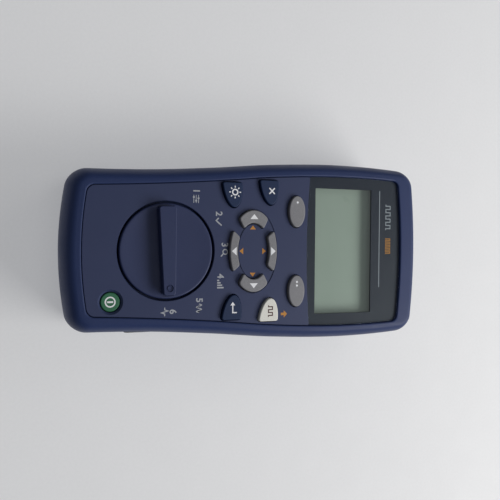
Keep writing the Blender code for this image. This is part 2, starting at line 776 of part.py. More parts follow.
def main_board():
    outline = case_outline(3.4, bottom_end(4.6), top_end(12.6), (4.0, 4.0))
    board = prism("main_board", outline, BOARD_TOP - BOARD_THICK, BOARD_TOP, BOARD)
    cut(board, cylinder("board_centre_hole", (0, DIAL_Y), 3.4, 25, 30, sides=20))
    for i, place in enumerate(SCREW_PLACES):
        cut(board, cylinder(f"board_boss_cut_{i}", place, 3.7, 25, 30, sides=16))


def board_parts():
    under = BOARD_TOP - BOARD_THICK - GAP
    box("rf_shield", (-24, 34, under - 3.2), (10, 60, under), STEEL)
    box("processor_chip", (14, 12, under - 1.6), (30, 28, under), BLACK)
    cylinder("speaker", (-22, 12), 9.0, under - 5.0, under, BLACK, sides=28)
    socket = box("usb_socket", (25.2, PORT_Y - 3.9, PORT_Z - 2.0), (33.3, PORT_Y + 3.9, under), STEEL)
    cut(socket, box("usb_socket_cut", (26.4, PORT_Y - 3.4, PORT_Z - 1.5), (36, PORT_Y + 3.4, PORT_Z + 1.5)))


def port_cover():
    """A rubber flap over the side port: a proud pad in its seat, with a plug on the inside."""
    outline = rounded_rectangle((PORT_Y, PORT_Z), PORT_HALF, 1.8)
    surface = half_width(PORT_Y)
    rings = [
        [(35.0, y, z) for y, z in outline],
        [(surface + 0.1, y, z) for y, z in outline],
        [(surface + 0.5, PORT_Y + (y - PORT_Y) * 0.95, PORT_Z + (z - PORT_Z) * 0.88) for y, z in outline],
    ]
    hinge = (surface + 0.3, PORT_Y - PORT_HALF[0] + 0.3, PORT_Z)
    cover = finish("port_cover", loft_shape(rings), BLACK, hinge)
    plug = box("port_plug", (34.2, PORT_Y - 3.6, PORT_Z - 1.9), (35.4, PORT_Y + 3.6, PORT_Z + 1.9))
    return join(cover, plug)


# --- connectors ----------------------------------------------------------------------------------


def end_panel():
    (x0, z0), (x1, z1) = CONNECTOR_BAY
    low, high = (x0 - 1.8, END_PANEL_Y[0], z0 - 1.8), (x1 + 1.8, END_PANEL_Y[1], z1 + 1.8)
    panel = box("end_panel", low, high, BLACK)
    cut(
        panel,
        box(
            "jack_window",
            (JACK_X - JACK_HALF_WIDTH - GAP, 80, JACK_Z[0] - GAP),
            (JACK_X + JACK_HALF_WIDTH + GAP, 86, JACK_Z[1] + GAP),
        ),
        cylinder("coax_window", COAX, 5.1, 80, 86, axis="Y"),
    )


def network_jack():
    """An eight-way modular jack: a shielded box, a body with the socket, and a comb of contacts."""
    left, right = JACK_X - JACK_HALF_WIDTH, JACK_X + JACK_HALF_WIDTH
    shield = box("jack_shield", (left, JACK_Y[0], JACK_Z[0]), (right, JACK_Y[1] - 0.8, JACK_Z[1]), STEEL)
    cut(
        shield,
        box(
            "jack_shield_inside",
            (left + 0.5, JACK_Y[0] + 0.5, JACK_Z[0] + 0.5),
            (right - 0.5, 90, JACK_Z[1] - 0.5),
        ),
    )
    inner = 0.5 + GAP
    body = box(
        "network_jack",
        (left + inner, JACK_Y[0] + inner, JACK_Z[0] + inner),
        (right - inner, JACK_Y[1], JACK_Z[1] - inner),
        BLACK,
    )
    socket_low, socket_high = 15.6, 22.6
    cut(
        body,
        box("jack_socket", (JACK_X - 5.95, 70.5, socket_low), (JACK_X + 5.95, 90, socket_high)),
        box("jack_latch_way", (JACK_X - 3.2, 73.0, socket_low - 1.6), (JACK_X + 3.2, 90, socket_low + 1)),
        box("jack_latch_key", (JACK_X - 2.0, 79.0, socket_low - 2.4), (JACK_X + 2.0, 90, socket_low + 1)),
    )
    low, high = (JACK_X - 4.1, 71.0, socket_high - 0.8), (JACK_X + 4.1, 72.0, socket_high - GAP)
    comb = box("jack_contacts", low, high, BRASS)
    for i in range(8):
        x = JACK_X - 3.57 + 1.02 * i
        low, high = (x - 0.2, 71.5, socket_high - 0.75), (x + 0.2, 82.0, socket_high - 0.35)
        join(comb, box(f"jack_wire_{i}", low, high))


def coax_connector():
    """A threaded coaxial socket, bolted through the end panel with a hex nut."""
    body = cylinder("coax_connector", COAX, 4.75, 74.0, 88.4, STEEL, axis="Y", sides=28)
    x, z = COAX
    join(body, box("coax_square", (x - 5.6, 72.0, z - 5.6), (x + 5.6, 82.1, z + 5.6)))
    for i in range(3):
        start = 87.9 - 0.8 * (i + 1)
        ring = cylinder(f"coax_thread_{i}", COAX, 6.0, start, start + 0.35, axis="Y", sides=28)
        cut(ring, cylinder(f"coax_thread_bore_{i}", COAX, 4.45, start - 1, start + 1, axis="Y", sides=28))
        cut(body, ring)
    cut(body, cylinder("coax_bore", COAX, 3.4, 80.0, 90.0, axis="Y", sides=20))
    insulator = cylinder("coax_insulator", COAX, 3.1, 80.3, 87.8, WHITE, axis="Y", sides=20)
    cut(insulator, cylinder("coax_pin_hole", COAX, 0.8, 81.0, 90.0, axis="Y", sides=10))
    nut = cylinder("coax_nut", COAX, 6.4, 84.5, 86.0, STEEL, axis="Y", sides=6)
    cut(nut, cylinder("coax_nut_bore", COAX, 5.05, 80.0, 90.0, axis="Y", sides=28))


# --- batteries -----------------------------------------------------------------------------------


def contact(name, wall, into, lanes, sprung):
    """A stamped plate against one wall of the bay, with a coil wherever a cell's flat end faces it."""
    start = wall + into * GAP
    front = start + into * PLATE
    low, high = sorted((start, front))
    half = 5.4
    plate = box(name, (lanes[0] - half, low, CELL_Z - 5.2), (lanes[-1] + half, high, CELL_Z + 5.2), STEEL)
    for x in sprung:
        rings = coil_rings(3, 8, SPRING_LENGTH, (4.6, 2.4), 0.35, 4)
        placed = []
        for ring in rings:
            placed.append([(x + across, front + into * along, CELL_Z + up) for along, across, up in ring])
        join(plate, finish(f"{name}_coil", loft_shape(placed), None))


def batteries():
    """Four AA cells in series, turned end for end, between stamped contacts on both walls of the bay."""
    y0, y1 = BAY_ENDS
    lanes = [CELL_PITCH * (i - 1.5) for i in range(4)]
    for i, x in enumerate(lanes):
        way = 1 if i % 2 == 0 else -1
        nose = (y1 if way > 0 else y0) - way * (GAP + PLATE + GAP)
        shoulder = nose - way * 1.2
        low, high = sorted((shoulder - way * CELL_LENGTH, shoulder))
        cell = cylinder(f"battery_{i + 1}", (x, CELL_Z), CELL_RADIUS, low, high, CELL, axis="Y", sides=28)
        low, high = sorted((shoulder - way * 0.8, nose))
        join(cell, cylinder(f"battery_nub_{i + 1}", (x, CELL_Z), 2.7, low, high, axis="Y", sides=16))
    contact("battery_contact_1", y0, 1, lanes[0:2], lanes[0:1])
    contact("battery_contact_2", y0, 1, lanes[2:4], lanes[2:3])
    contact("battery_contact_3", y1, -1, lanes[0:1], ())
    contact("battery_contact_4", y1, -1, lanes[1:3], lanes[1:2])
    contact("battery_contact_5", y1, -1, lanes[3:4], lanes[3:4])


def battery_door():
    y0, y1 = BAY_ENDS
    hinge = (0, DOOR_HINGE_Y, 0)
    half = BAY_HALF_WIDTH - GAP
    door = box("battery_door", (-half, y0 + GAP, 0), (half, y1 - GAP, DOOR_THICK), BLACK, hinge)
    join(door, box("door_ear", (-EAR_HALF_WIDTH, y1 - 2, 0), (EAR_HALF_WIDTH, EAR_END, DOOR_THICK)))
    for sign in (-1, 1):
        x = sign * TAB_X
        join(
            door,
            box(f"door_tab_root_{sign}", (x - 4, y0 + GAP, 1.0), (x + 4, y0 + 1.5, TAB_TOP)),
            box(f"door_tab_{sign}", (x - 4, y0 - 2.6, DOOR_THICK + GAP), (x + 4, y0 + 1.5, TAB_TOP)),
        )
    centre = (0, DOOR_SCREW_Y)
    cut(
        door,
        cylinder("door_counterbore", centre, 3.5, -1, 1.2, sides=20),
        cylinder("door_screw_hole", centre, 2.0, -1, 3, sides=16),
    )
    screw = cylinder("door_screw", centre, 3.1, 0.15, 0.95, STEEL, sides=20, origin=(*centre, 0))
    join(screw, cylinder("door_screw_shank", centre, 1.5, 0.6, 6.3, sides=12))
    cut(screw, box("door_screw_slot", (-4, DOOR_SCREW_Y - 0.5, 0), (4, DOOR_SCREW_Y + 0.5, 0.5)))


def main():
    front_case()
    rear_case()
    face_panel()
    display_lens()
    display_stack()
    selector()
    keypad()
    main_board()
    board_parts()
    port_cover()
    end_panel()
    network_jack()
    coax_connector()
    batteries()
    battery_door()
    for number, place in enumerate(SCREW_PLACES, 1):
        case_screw(number, place)


main()
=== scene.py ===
"""Looks of the handheld network cable tester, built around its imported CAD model.

Sizes are in millimetres until a mesh is made. Places come from the boxes of the CAD nodes, and the
case's outline is the same formula as in the CAD.
"""

import json
import math

import bmesh
import bpy
from mathutils import Matrix, Vector

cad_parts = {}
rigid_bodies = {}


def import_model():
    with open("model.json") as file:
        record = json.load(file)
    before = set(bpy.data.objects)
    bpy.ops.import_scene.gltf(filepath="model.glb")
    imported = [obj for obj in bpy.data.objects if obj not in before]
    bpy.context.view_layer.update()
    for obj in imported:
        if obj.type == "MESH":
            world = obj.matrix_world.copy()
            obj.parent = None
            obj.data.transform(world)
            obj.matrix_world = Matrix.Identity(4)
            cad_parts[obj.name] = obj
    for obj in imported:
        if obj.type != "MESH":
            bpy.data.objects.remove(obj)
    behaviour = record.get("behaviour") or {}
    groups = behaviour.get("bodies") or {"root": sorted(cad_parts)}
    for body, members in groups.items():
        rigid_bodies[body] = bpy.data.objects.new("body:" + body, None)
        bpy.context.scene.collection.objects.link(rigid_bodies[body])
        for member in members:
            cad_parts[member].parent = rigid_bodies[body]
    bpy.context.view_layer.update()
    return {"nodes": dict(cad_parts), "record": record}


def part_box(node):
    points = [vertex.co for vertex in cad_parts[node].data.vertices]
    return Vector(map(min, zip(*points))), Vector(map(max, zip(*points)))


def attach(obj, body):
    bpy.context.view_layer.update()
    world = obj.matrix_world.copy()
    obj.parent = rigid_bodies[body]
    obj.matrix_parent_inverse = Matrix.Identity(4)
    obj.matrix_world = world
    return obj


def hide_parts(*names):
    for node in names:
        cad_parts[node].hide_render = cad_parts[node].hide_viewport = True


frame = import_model()
NODES = frame["nodes"]
MM = 0.001

# The case's outline, seen from the front, as (y, half width)
HALF_WIDTHS = ((-80, 35.65), (-50, 36.35), (-20, 38.45), (10, 41.2), (45, 42.6), (80, 41.2))
BOTTOM_END_RADIUS = 155.0
TOP_END_RADIUS = 310.0
CASE_CORNER = 7.5
BELLY = 27.5  # where the bottom end reaches farthest
BELLY_LEAN = 0.1  # how far the bottom end draws in below that, per millimetre

# The recess that holds the face and the lens
RECESS_HALF_WIDTHS = ((-80, 28.1), (-50, 29.65), (-20, 31.95), (10, 34.8), (45, 36.2), (80, 34.9))
RECESS_INSETS = (8.35, 10.7)  # from the case's bottom and top ends
RECESS_CORNER = 3.0
LENS_SEAM_RADIUS = 425.0
GAP = 0.3
KEY_CLEARANCE = 0.4
KEY_ROUNDING = 0.5
KEY_SOFTNESS = 1.1  # how far from a key's corner its rounding starts
KEY_FLANGE = 0.8  # how far a key's hidden flange reaches past its cap
INK = 0.06  # how thick the prints are
SHOULDER = 29.5
BACK_ROUND = 7.0
EDGE_BREAK = 0.25

ARROW_CENTRE = (0.0, -2.4)
ARROW_OUTER = (18.85, 11.6)
ARROW_INNER = (13.0, 7.75)
POINTER_ANGLE = 2.0
FINE, MEDIUM = 64, 32  # sides of a round thing


def span(node):
    """The lowest and highest corners of a CAD node, in millimetres."""
    low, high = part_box(node)
    return low / MM, high / MM


def middle(node):
    low, high = span(node)
    return (low + high) / 2


def footprint(node, axes="xy"):
    """The middle and the half sizes of a CAD node, along two axes."""
    low, high = span(node)
    ends = [(getattr(low, axis), getattr(high, axis)) for axis in axes]
    return [(a + b) / 2 for a, b in ends], [(b - a) / 2 for a, b in ends]


FRONT_LOW, FRONT_HIGH = span("front_case")
PANEL_LOW, PANEL_HIGH = span("face_panel")
LENS_LOW, LENS_HIGH = span("display_lens")
KNOB_LOW, KNOB_HIGH = span("selector_knob")
LENGTH = FRONT_HIGH.y - FRONT_LOW.y
SEAM = FRONT_LOW.z
RIM_TOP = FRONT_HIGH.z
PANEL_TOP = PANEL_HIGH.z
RECESS_FLOOR = PANEL_LOW.z - GAP
LENS_SEAM_Y = LENS_LOW.y - GAP / 2
DIAL = Vector((0.0, middle("detent_ring").y))
DIAL_RADIUS = (KNOB_HIGH.x - KNOB_LOW.x) / 2


# --- outlines ---


def half_width(y, knots=HALF_WIDTHS):
    """Half the case's width at y: a smooth curve through the knots."""
    slopes = [(b[1] - a[1]) / (b[0] - a[0]) for a, b in zip(knots, knots[1:])]
    inner = [(c[1] - a[1]) / (c[0] - a[0]) for a, c in zip(knots, knots[2:])]
    tangents = [2 * slopes[0] - inner[0], *inner, 2 * slopes[-1] - inner[-1]]
    if y <= knots[0][0]:
        return knots[0][1] + tangents[0] * (y - knots[0][0])
    if y >= knots[-1][0]:
        return knots[-1][1] + tangents[-1] * (y - knots[-1][0])
    i = next(n for n in range(len(slopes)) if y <= knots[n + 1][0])
    (y0, w0), (y1, w1) = knots[i], knots[i + 1]
    reach = y1 - y0
    t = (y - y0) / reach
    return (
        w0 * (1 + 2 * t) * (1 - t) ** 2
        + tangents[i] * reach * t * (1 - t) ** 2
        + w1 * t * t * (3 - 2 * t)
        + tangents[i + 1] * reach * t * t * (t - 1)
    )


def bottom_end(inset):
    return lambda x: -LENGTH / 2 + inset + x * x / (2 * BOTTOM_END_RADIUS)


def top_end(inset):
    return lambda x: LENGTH / 2 - inset - x * x / (2 * TOP_END_RADIUS)


def lens_seam(shift):
    return lambda x: LENS_SEAM_Y + shift + x * x / (2 * LENS_SEAM_RADIUS)


def corner_curve(start, apex, end, steps=10):
    """Points strictly between start and end on a near-circular corner that turns at apex."""
    pull = 0.5523
    start, apex, end = Vector(start), Vector(apex), Vector(end)
    first, second = start.lerp(apex, pull), end.lerp(apex, pull)
    points = []
    for i in range(1, steps):
        t = i / steps
        u = 1 - t
        points.append(tuple(start * u**3 + first * 3 * t * u * u + second * 3 * t * t * u + end * t**3))
    return points


def case_outline(side, low_end, high_end, corners, knots=HALF_WIDTHS, side_steps=40, end_steps=10):
    """A counterclockwise outline between two end curves, inset from the sides that the knots give."""
    low_corner, high_corner = corners

    def edge(y):
        return half_width(y, knots) - side

    def apex(end):
        x = edge(end(0))
        return edge(end(x)), end(x)

    low_x, low_y = apex(low_end)
    high_x, high_y = apex(high_end)
    side_low, side_high = low_y + low_corner, high_y - high_corner
    right = []
    for i in range(end_steps + 1):
        x = (low_x - low_corner) * i / end_steps
        right.append((x, low_end(x)))
    right += corner_curve(right[-1], (low_x, low_y), (edge(side_low), side_low))
    for i in range(side_steps + 1):
        y = side_low + (side_high - side_low) * i / side_steps
        right.append((edge(y), y))
    turn_x = high_x - high_corner
    right += corner_curve(right[-1], (high_x, high_y), (turn_x, high_end(turn_x)))
    for i in range(end_steps + 1):
        x = turn_x * (1 - i / end_steps)
        right.append((x, high_end(x)))
    return right + [(-x, y) for x, y in right[-2:0:-1]]


def inset_outline(side, bottom=None, top=None):
    """The case outline, moved in by a distance at the sides, and its own distance at each end."""
    bottom = side if bottom is None else bottom
    top = side if top is None else top
    corner = max(CASE_CORNER - 0.7 * side, RECESS_CORNER)
    return case_outline(side, bottom_end(bottom), top_end(top), (corner, corner))


def recess_outline(inset, low_end=None, high_end=None, corners=(RECESS_CORNER, RECESS_CORNER)):
    """The outline of the recess, moved in by a distance, and cut short at either end if asked."""
    low_end = low_end or bottom_end(RECESS_INSETS[0] + inset)
    high_end = high_end or top_end(RECESS_INSETS[1] + inset)
    return case_outline(inset, low_end, high_end, corners, RECESS_HALF_WIDTHS)


def belly_inset(z):
    """How far the bottom end has drawn in at a height: a full curve above the belly, a lean below it."""
    if z <= BELLY:
        return (BELLY - z) * BELLY_LEAN
    rise = min((z - BELLY) / (RIM_TOP - 0.1 - BELLY), 1.0)
    return 7.2 * (1 - (1 - rise**2.3) ** (1 / 2.3))


def ellipse(centre, radii, start=0.0, end=360.0, steps=48, closed=True):
    """Points on an ellipse from one angle to another, in degrees."""
    count = steps if closed else steps + 1
    angles = [math.radians(start + (end - start) * i / steps) for i in range(count)]
    return [(centre[0] + radii[0] * math.cos(a), centre[1] + radii[1] * math.sin(a)) for a in angles]


def circle(centre, radius, steps=MEDIUM):
    return ellipse(centre, (radius, radius), steps=steps)


def rounded_rectangle(centre, half, corner, steps=5):
    points = []
    for sx, sy, start in ((1, 1, 0), (-1, 1, 90), (-1, -1, 180), (1, -1, 270)):
        turn = (centre[0] + sx * (half[0] - corner), centre[1] + sy * (half[1] - corner))
        points += ellipse(turn, (corner, corner), start, start + 90, steps, closed=False)
    return points


def rectangle(low, high, corner, inset=0.0, steps=5):
    """A rounded rectangle between two corners, moved in by a distance."""
    centre = ((low[0] + high[0]) / 2, (low[1] + high[1]) / 2)
    half = ((high[0] - low[0]) / 2 - inset, (high[1] - low[1]) / 2 - inset)
    return rounded_rectangle(centre, half, corner, steps)


def directions(angle):
    """Unit vectors along an angle in degrees, and square to it."""
    turn = math.radians(angle)
    along = Vector((math.cos(turn), math.sin(turn)))
    return along, Vector((-along.y, along.x))


def cross_outline(centre, reach, width, start=0):
    """The twelve corners of a cross; each arm is twice the width across."""
    corners = []
    for i in range(4):
        along, across = directions(start + 90 * i)
        corners += [along * reach - across * width, along * reach + across * width, (along + across) * width]
    return [(centre[0] + p.x, centre[1] + p.y) for p in corners]


def triangle(tip, base_half, height, angle):
    """A triangle whose tip is at a point, and which points along an angle in degrees."""
    along, across = directions(angle)
    tip = Vector(tip)
    base = tip - along * height
    return [tuple(tip), tuple(base + across * base_half), tuple(base - across * base_half)]


def offset(outline, distance):
    """A counterclockwise outline moved outwards by a distance, with its corners mitred."""
    moved = []
    count = len(outline)
    for i, point in enumerate(outline):
        before = Vector(point) - Vector(outline[i - 1])
        after = Vector(outline[(i + 1) % count]) - Vector(point)
        first = Vector((before.y, -before.x)).normalized()
        second = Vector((after.y, -after.x)).normalized()
        miter = (first + second) / (1 + first.dot(second))
        moved.append((point[0] + miter.x * distance, point[1] + miter.y * distance))
    return moved


def walk(outline, start, way, reach):
    """The point `reach` along the outline from one of its points, and how many points that passes."""
    here = Vector(outline[start])
    passed = 0
    while True:
        ahead = Vector(outline[(start + way * (passed + 1)) % len(outline)])
        step = (ahead - here).length
        if step > reach:
            return here.lerp(ahead, reach / step), passed
        reach -= step
        here = ahead
        passed += 1


def softened(outline, reach, steps=4, sharpest=25):
    """The outline with each corner that turns by more than `sharpest` degrees rounded off."""
    count = len(outline)
    curves, dropped = {}, set()
    for i, point in enumerate(outline):
        here = Vector(point)
        before = here - Vector(outline[i - 1])
        after = Vector(outline[(i + 1) % count]) - here
        if math.degrees(before.angle(after)) > sharpest:
            start, behind = walk(outline, i, -1, reach)
            end, ahead = walk(outline, i, 1, reach)
            dropped.update((i + k) % count for k in range(-behind, ahead + 1))
            curves[i] = [tuple(start), *corner_curve(start, here, end, steps), tuple(end)]
    points = []
    for i, point in enumerate(outline):
        if i in curves:
            points += curves[i]
        elif i not in dropped:
            points.append(point)
    return points


def arrow_outline(angle, reach, steps=14):
    """A segment of the oval arrow ring, centred on an angle and reaching that many degrees each way."""
    outer = ellipse(ARROW_CENTRE, ARROW_OUTER, angle - reach, angle + reach, steps, closed=False)
    inner = ellipse(ARROW_CENTRE, ARROW_INNER, angle + reach, angle - reach, steps, closed=False)
    return outer + inner


def shield_outline(node, steps=28, half=4.75, lean=1.2):
    """A flat edge towards the case's side and a leaning half-oval towards its middle, in a key's CAD box."""
    low, high = span(node)
    right_side = low.x > 0
    edge_x = high.x - KEY_FLANGE if right_side else low.x + KEY_FLANGE
    middle_y = low.y + KEY_FLANGE + half
    depth = (high.x - low.x - 2 * KEY_FLANGE) * (-1 if right_side else 1)
    points = []
    for i in range(steps + 1):
        a = math.pi * i / steps
        points.append((edge_x + depth * math.sin(a), middle_y + half * math.cos(a) + lean * math.sin(a)))
    return points if right_side else points[::-1]


# --- meshes ---

AXES = {
    "Z": lambda a, b, h: (a, b, h),
    "Y": lambda a, b, h: (a, h, b),
    "X": lambda a, b, h: (h, a, b),
}


def at(outline, z):
    return [(x, y, z) for x, y in outline]


def loft(rings, into=None, hollow=False):
    """A closed skin over rings of equally many points, capped at its ends, or joined end to end if hollow."""
    shape = bmesh.new() if into is None else into
    loops = [[shape.verts.new(p) for p in ring] for ring in rings]
    count = len(loops[0])
    made = []
    for lower, upper in zip(loops, loops[1:] + loops[:1] if hollow else loops[1:]):
        for i in range(count):
            j = (i + 1) % count
            made.append(shape.faces.new((lower[i], lower[j], upper[j], upper[i])))
    if not hollow:
        made += [shape.faces.new(loops[0][::-1]), shape.faces.new(loops[-1])]
    bmesh.ops.recalc_face_normals(shape, faces=made)
    return shape


def stack(outline, levels, axis="Z", into=None):
    """A solid over one outline: each level is (how far it is inset, its height along the axis)."""
    place = AXES[axis]
    return loft([[place(a, b, h) for a, b in offset(outline, -inset)] for inset, h in levels], into)


def prism(outline, low, high, inset=0.0, axis="Z", into=None):
    """A solid with upright sides over one outline."""
    return stack(outline, [(inset, low), (inset, high)], axis, into)


def block(low, high, edge=EDGE_BREAK, corner=None, axis="Z", into=None):
    """A box between two corners, with broken edges and softened corners."""
    order = {"Z": (0, 1, 2), "Y": (0, 2, 1), "X": (1, 2, 0)}[axis]
    a0, b0, h0 = (low[i] for i in order)
    a1, b1, h1 = (high[i] for i in order)
    outline = rectangle((a0, b0), (a1, b1), edge + 0.02 if corner is None else corner, steps=3)
    levels = [(edge, h0), *fillet(h0 + edge, -edge), *fillet(h1 - edge, edge), (edge, h1)]
    return stack(outline, levels, axis, into)


def fillet(base, radius, steps=3, inset=0.0):
    """Levels of a rounded edge that starts upright at `base`; a negative radius rounds a lower edge."""
    rows = []
    for i in range(steps):
        turn = math.radians(90 * (i if radius > 0 else steps - 1 - i) / steps)
        rows.append((inset + abs(radius) * (1 - math.cos(turn)), base + radius * math.sin(turn)))
    return rows


def turned(profile, centre, axis="Z", steps=FINE):
    """A (radius, height) profile turned about an axis. A third value is the look of the band above."""
    shape = bmesh.new()
    place = AXES[axis]
    loops = []
    for r, h, *_ in profile:
        ring = []
        for i in range(1 if r == 0 else steps):
            a = 2 * math.pi * i / steps
            ring.append(shape.verts.new(place(centre[0] + r * math.cos(a), centre[1] + r * math.sin(a), h)))
        loops.append(ring)
    for n, (lower, upper) in enumerate(zip(loops, loops[1:])):
        look = profile[n][2] if len(profile[n]) > 2 else 0
        for i in range(steps):
            j = (i + 1) % steps
            corners = []
            for ring, k in ((lower, i), (lower, j), (upper, j), (upper, i)):
                vert = ring[k % len(ring)]
                if vert not in corners:
                    corners.append(vert)
            if len(corners) > 2:
                shape.faces.new(corners).material_index = look
    bmesh.ops.recalc_face_normals(shape, faces=shape.faces)
    return shape


def disc(centre, radius, low, high, axis="Z", steps=FINE):
    return turned(((0, low), (radius, low), (radius, high), (0, high)), centre, axis, steps)


def tube(path, radius, sides=8, into=None):
    """A round wire along a path of (x, y, z) points."""
    points = [Vector(p) for p in path]
    rings = []
    side = None
    for i, here in enumerate(points):
        ahead = points[min(i + 1, len(points) - 1)] - points[max(i - 1, 0)]
        ahead.normalize()
        if side is None:
            side = ahead.orthogonal().normalized()
        side = (side - ahead * side.dot(ahead)).normalized()
        up = ahead.cross(side)
        turns = [2 * math.pi * k / sides for k in range(sides)]
        rings.append([tuple(here + side * radius * math.cos(t) + up * radius * math.sin(t)) for t in turns])
    return loft(rings, into)


def band(outer, inner, low, high, into=None):
    """A flat ring between two outlines with equally many points."""
    return loft([at(outer, low), at(outer, high), at(inner, high), at(inner, low)], into, hollow=True)


def put(name, data):
    """A new object, placed in the scene."""
    made = bpy.data.objects.new(name, data)
    bpy.context.scene.collection.objects.link(made)
    return made


def to_object(name, shape, looks):
    bmesh.ops.scale(shape, verts=shape.verts, vec=(MM, MM, MM))
    mesh = bpy.data.meshes.new(name)
    shape.to_mesh(mesh)
    shape.free()
    for look in looks:
        mesh.materials.append(look)
    return put(name, mesh)


def shade(made, sharpest):
    made.data.shade_smooth()
    made.data.set_sharp_from_angle(angle=math.radians(sharpest))


def piece(name, shape, looks, body, replaces=(), sharpest=32):
    """A finished piece that rides on a CAD body, and may stand for CAD nodes."""
    looks = looks if isinstance(looks, (list, tuple)) else [looks]
    made = to_object(name, shape, looks)
    shade(made, sharpest)
    weigh = made.modifiers.new("Even shading", "WEIGHTED_NORMAL")
    weigh.keep_sharp = True
    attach(made, body)
    if replaces:
        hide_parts(*replaces)
    return made


def carve(made, operation, shapes, sharpest=32):
    """Joins shapes to a piece, or cuts them from it, and keeps only the result."""
    tools = bpy.data.collections.new("tools")
    bpy.context.scene.collection.children.link(tools)
    for i, shape in enumerate(shapes):
        tool = to_object(f"tool_{i}", shape, [])
        bpy.context.scene.collection.objects.unlink(tool)
        tools.objects.link(tool)
    edit = made.modifiers.new("Carve", "BOOLEAN")
    edit.operation = operation
    edit.operand_type = "COLLECTION"
    edit.collection = tools
    made.modifiers.move(len(made.modifiers) - 1, 0)
    weigh = made.modifiers.get("Even shading")
    if weigh:
        weigh.show_viewport = False
    graph = bpy.context.evaluated_depsgraph_get()
    result = bpy.data.meshes.new_from_object(made.evaluated_get(graph))
    made.modifiers.remove(edit)
    if weigh:
        weigh.show_viewport = True
    made.data = result
    shade(made, sharpest)
    for tool in list(tools.objects):
        bpy.data.objects.remove(tool)
    bpy.data.collections.remove(tools)
    return made


# --- materials ---


def feed(made, inputs):
    """Links sockets to a node's inputs, and sets the others."""
    for key, value in inputs.items():
        if isinstance(value, bpy.types.NodeSocket):
            made.id_data.links.new(value, made.inputs[key])
        else:
            made.inputs[key].default_value = value


def node(tree, kind, inputs, **settings):
    made = tree.nodes.new(kind)
    for key, value in settings.items():
        setattr(made, key, value)
    feed(made, inputs)
    return made


def maths(tree, operation, *values):
    return node(tree, "ShaderNodeMath", dict(enumerate(values)), operation=operation).outputs[0]


def spread(tree, value, source, target):
    """A number brought from one range to another."""
    names = ("Value", "From Min", "From Max", "To Min", "To Max")
    inputs = dict(zip(names, (value, *source, *target)))
    return node(tree, "ShaderNodeMapRange", inputs).outputs["Result"]


def position(tree):
    return node(tree, "ShaderNodeTexCoord", {}).outputs["Object"]


def grain(tree, per_metre, low, high, detail=3.0):
    """A noise over the surface, spread between two numbers."""
    noise = node(tree, "ShaderNodeTexNoise", {"Vector": position(tree), "Scale": per_metre, "Detail": detail})
    return spread(tree, noise.outputs["Fac"], (0.3, 0.7), (low, high))


def tinted(tree, colour, factor):
    """A colour multiplied by a factor that varies over the surface."""
    scaled = node(tree, "ShaderNodeVectorMath", {0: colour, "Scale": factor}, operation="SCALE")
    return scaled.outputs["Vector"]


def bumped(tree, height, depth, strength):
    """A normal from a height, whose full swing is `depth` metres."""
    made = node(tree, "ShaderNodeBump", {"Height": height, "Distance": depth, "Strength": strength})
    return made.outputs["Normal"]


def tree_and_shader(material):
    tree = material.node_tree
    return tree, tree.nodes["Principled BSDF"]


def new_material(name, colour=(0.8, 0.8, 0.8)):
    made = bpy.data.materials.new(name)
    made.use_nodes = True
    made.diffuse_color = (*colour, 1)
    return made, *tree_and_shader(made)


def surface(name, colour, roughness, texture=3200, speckle=0.06, bump=0.25, depth=0.00004, specular=0.5):
    """A moulded or coated surface: uneven colour, uneven gloss and a fine raised texture."""
    made, tree, shader = new_material(name, colour)
    cloud = grain(tree, 35, 1 - speckle / 2, 1 + speckle / 2, 2.0)
    fine = grain(tree, texture * 0.8, 1 - speckle, 1 + speckle, 2.0)
    feed(shader, {
        "Base Color": tinted(tree, colour, maths(tree, "MULTIPLY", cloud, fine)),
        "Roughness": grain(tree, 90, roughness - 0.05, roughness + 0.05),
        "Normal": bumped(tree, grain(tree, texture, 0.0, 1.0, 2.0), depth, bump),
        "Specular IOR Level": specular,
    })
    return made


STREAKS = {"X": (60, 6000, 6000), "Y": (6000, 60, 6000), None: (2500, 2500, 2500)}  # noise cells per metre


def metal(name, colour, roughness, brushed=None):
    """Plated or turned metal: fine streaks along one axis, and clouded gloss."""
    made, tree, shader = new_material(name, colour)
    inputs = {0: position(tree), 1: STREAKS[brushed]}
    stretched = node(tree, "ShaderNodeVectorMath", inputs, operation="MULTIPLY").outputs["Vector"]
    inputs = {"Vector": stretched, "Scale": 1.0, "Detail": 3.0}
    streak = node(tree, "ShaderNodeTexNoise", inputs).outputs["Fac"]
    swing = (0.25, 0.75)
    feed(shader, {
        "Metallic": 1.0,
        "Base Color": tinted(tree, colour, spread(tree, streak, swing, (0.86, 1.08))),
        "Roughness": spread(tree, streak, swing, (roughness - 0.06, roughness + 0.08)),
        "Normal": bumped(tree, streak, 0.00001, 0.35),
    })
    return made


def window_glass(name):
    """Clear hard-coated acrylic: what is behind shows through, under a thin reflection."""
    made, tree, shader = new_material(name)
    tree.nodes.remove(shader)
    clear = node(tree, "ShaderNodeBsdfTransparent", {"Color": (0.93, 0.95, 0.95, 1)})
    shine = {"Color": (0.74, 0.82, 1.0, 1), "Roughness": grain(tree, 60, 0.03, 0.07)}
    shine = node(tree, "ShaderNodeBsdfGlossy", shine)
    slant = node(tree, "ShaderNodeLayerWeight", {"Blend": 0.5}).outputs["Facing"]
    gloss = maths(tree, "MULTIPLY_ADD", maths(tree, "POWER", slant, 5.0), 0.9, 0.035)
    mixed = node(tree, "ShaderNodeMixShader", {0: gloss, 1: clear.outputs[0], 2: shine.outputs[0]})
    feed(tree.nodes["Material Output"], {"Surface": mixed.outputs[0]})
    return made


CELL_PITCH = 0.00046  # of the display's faint grid, in metres


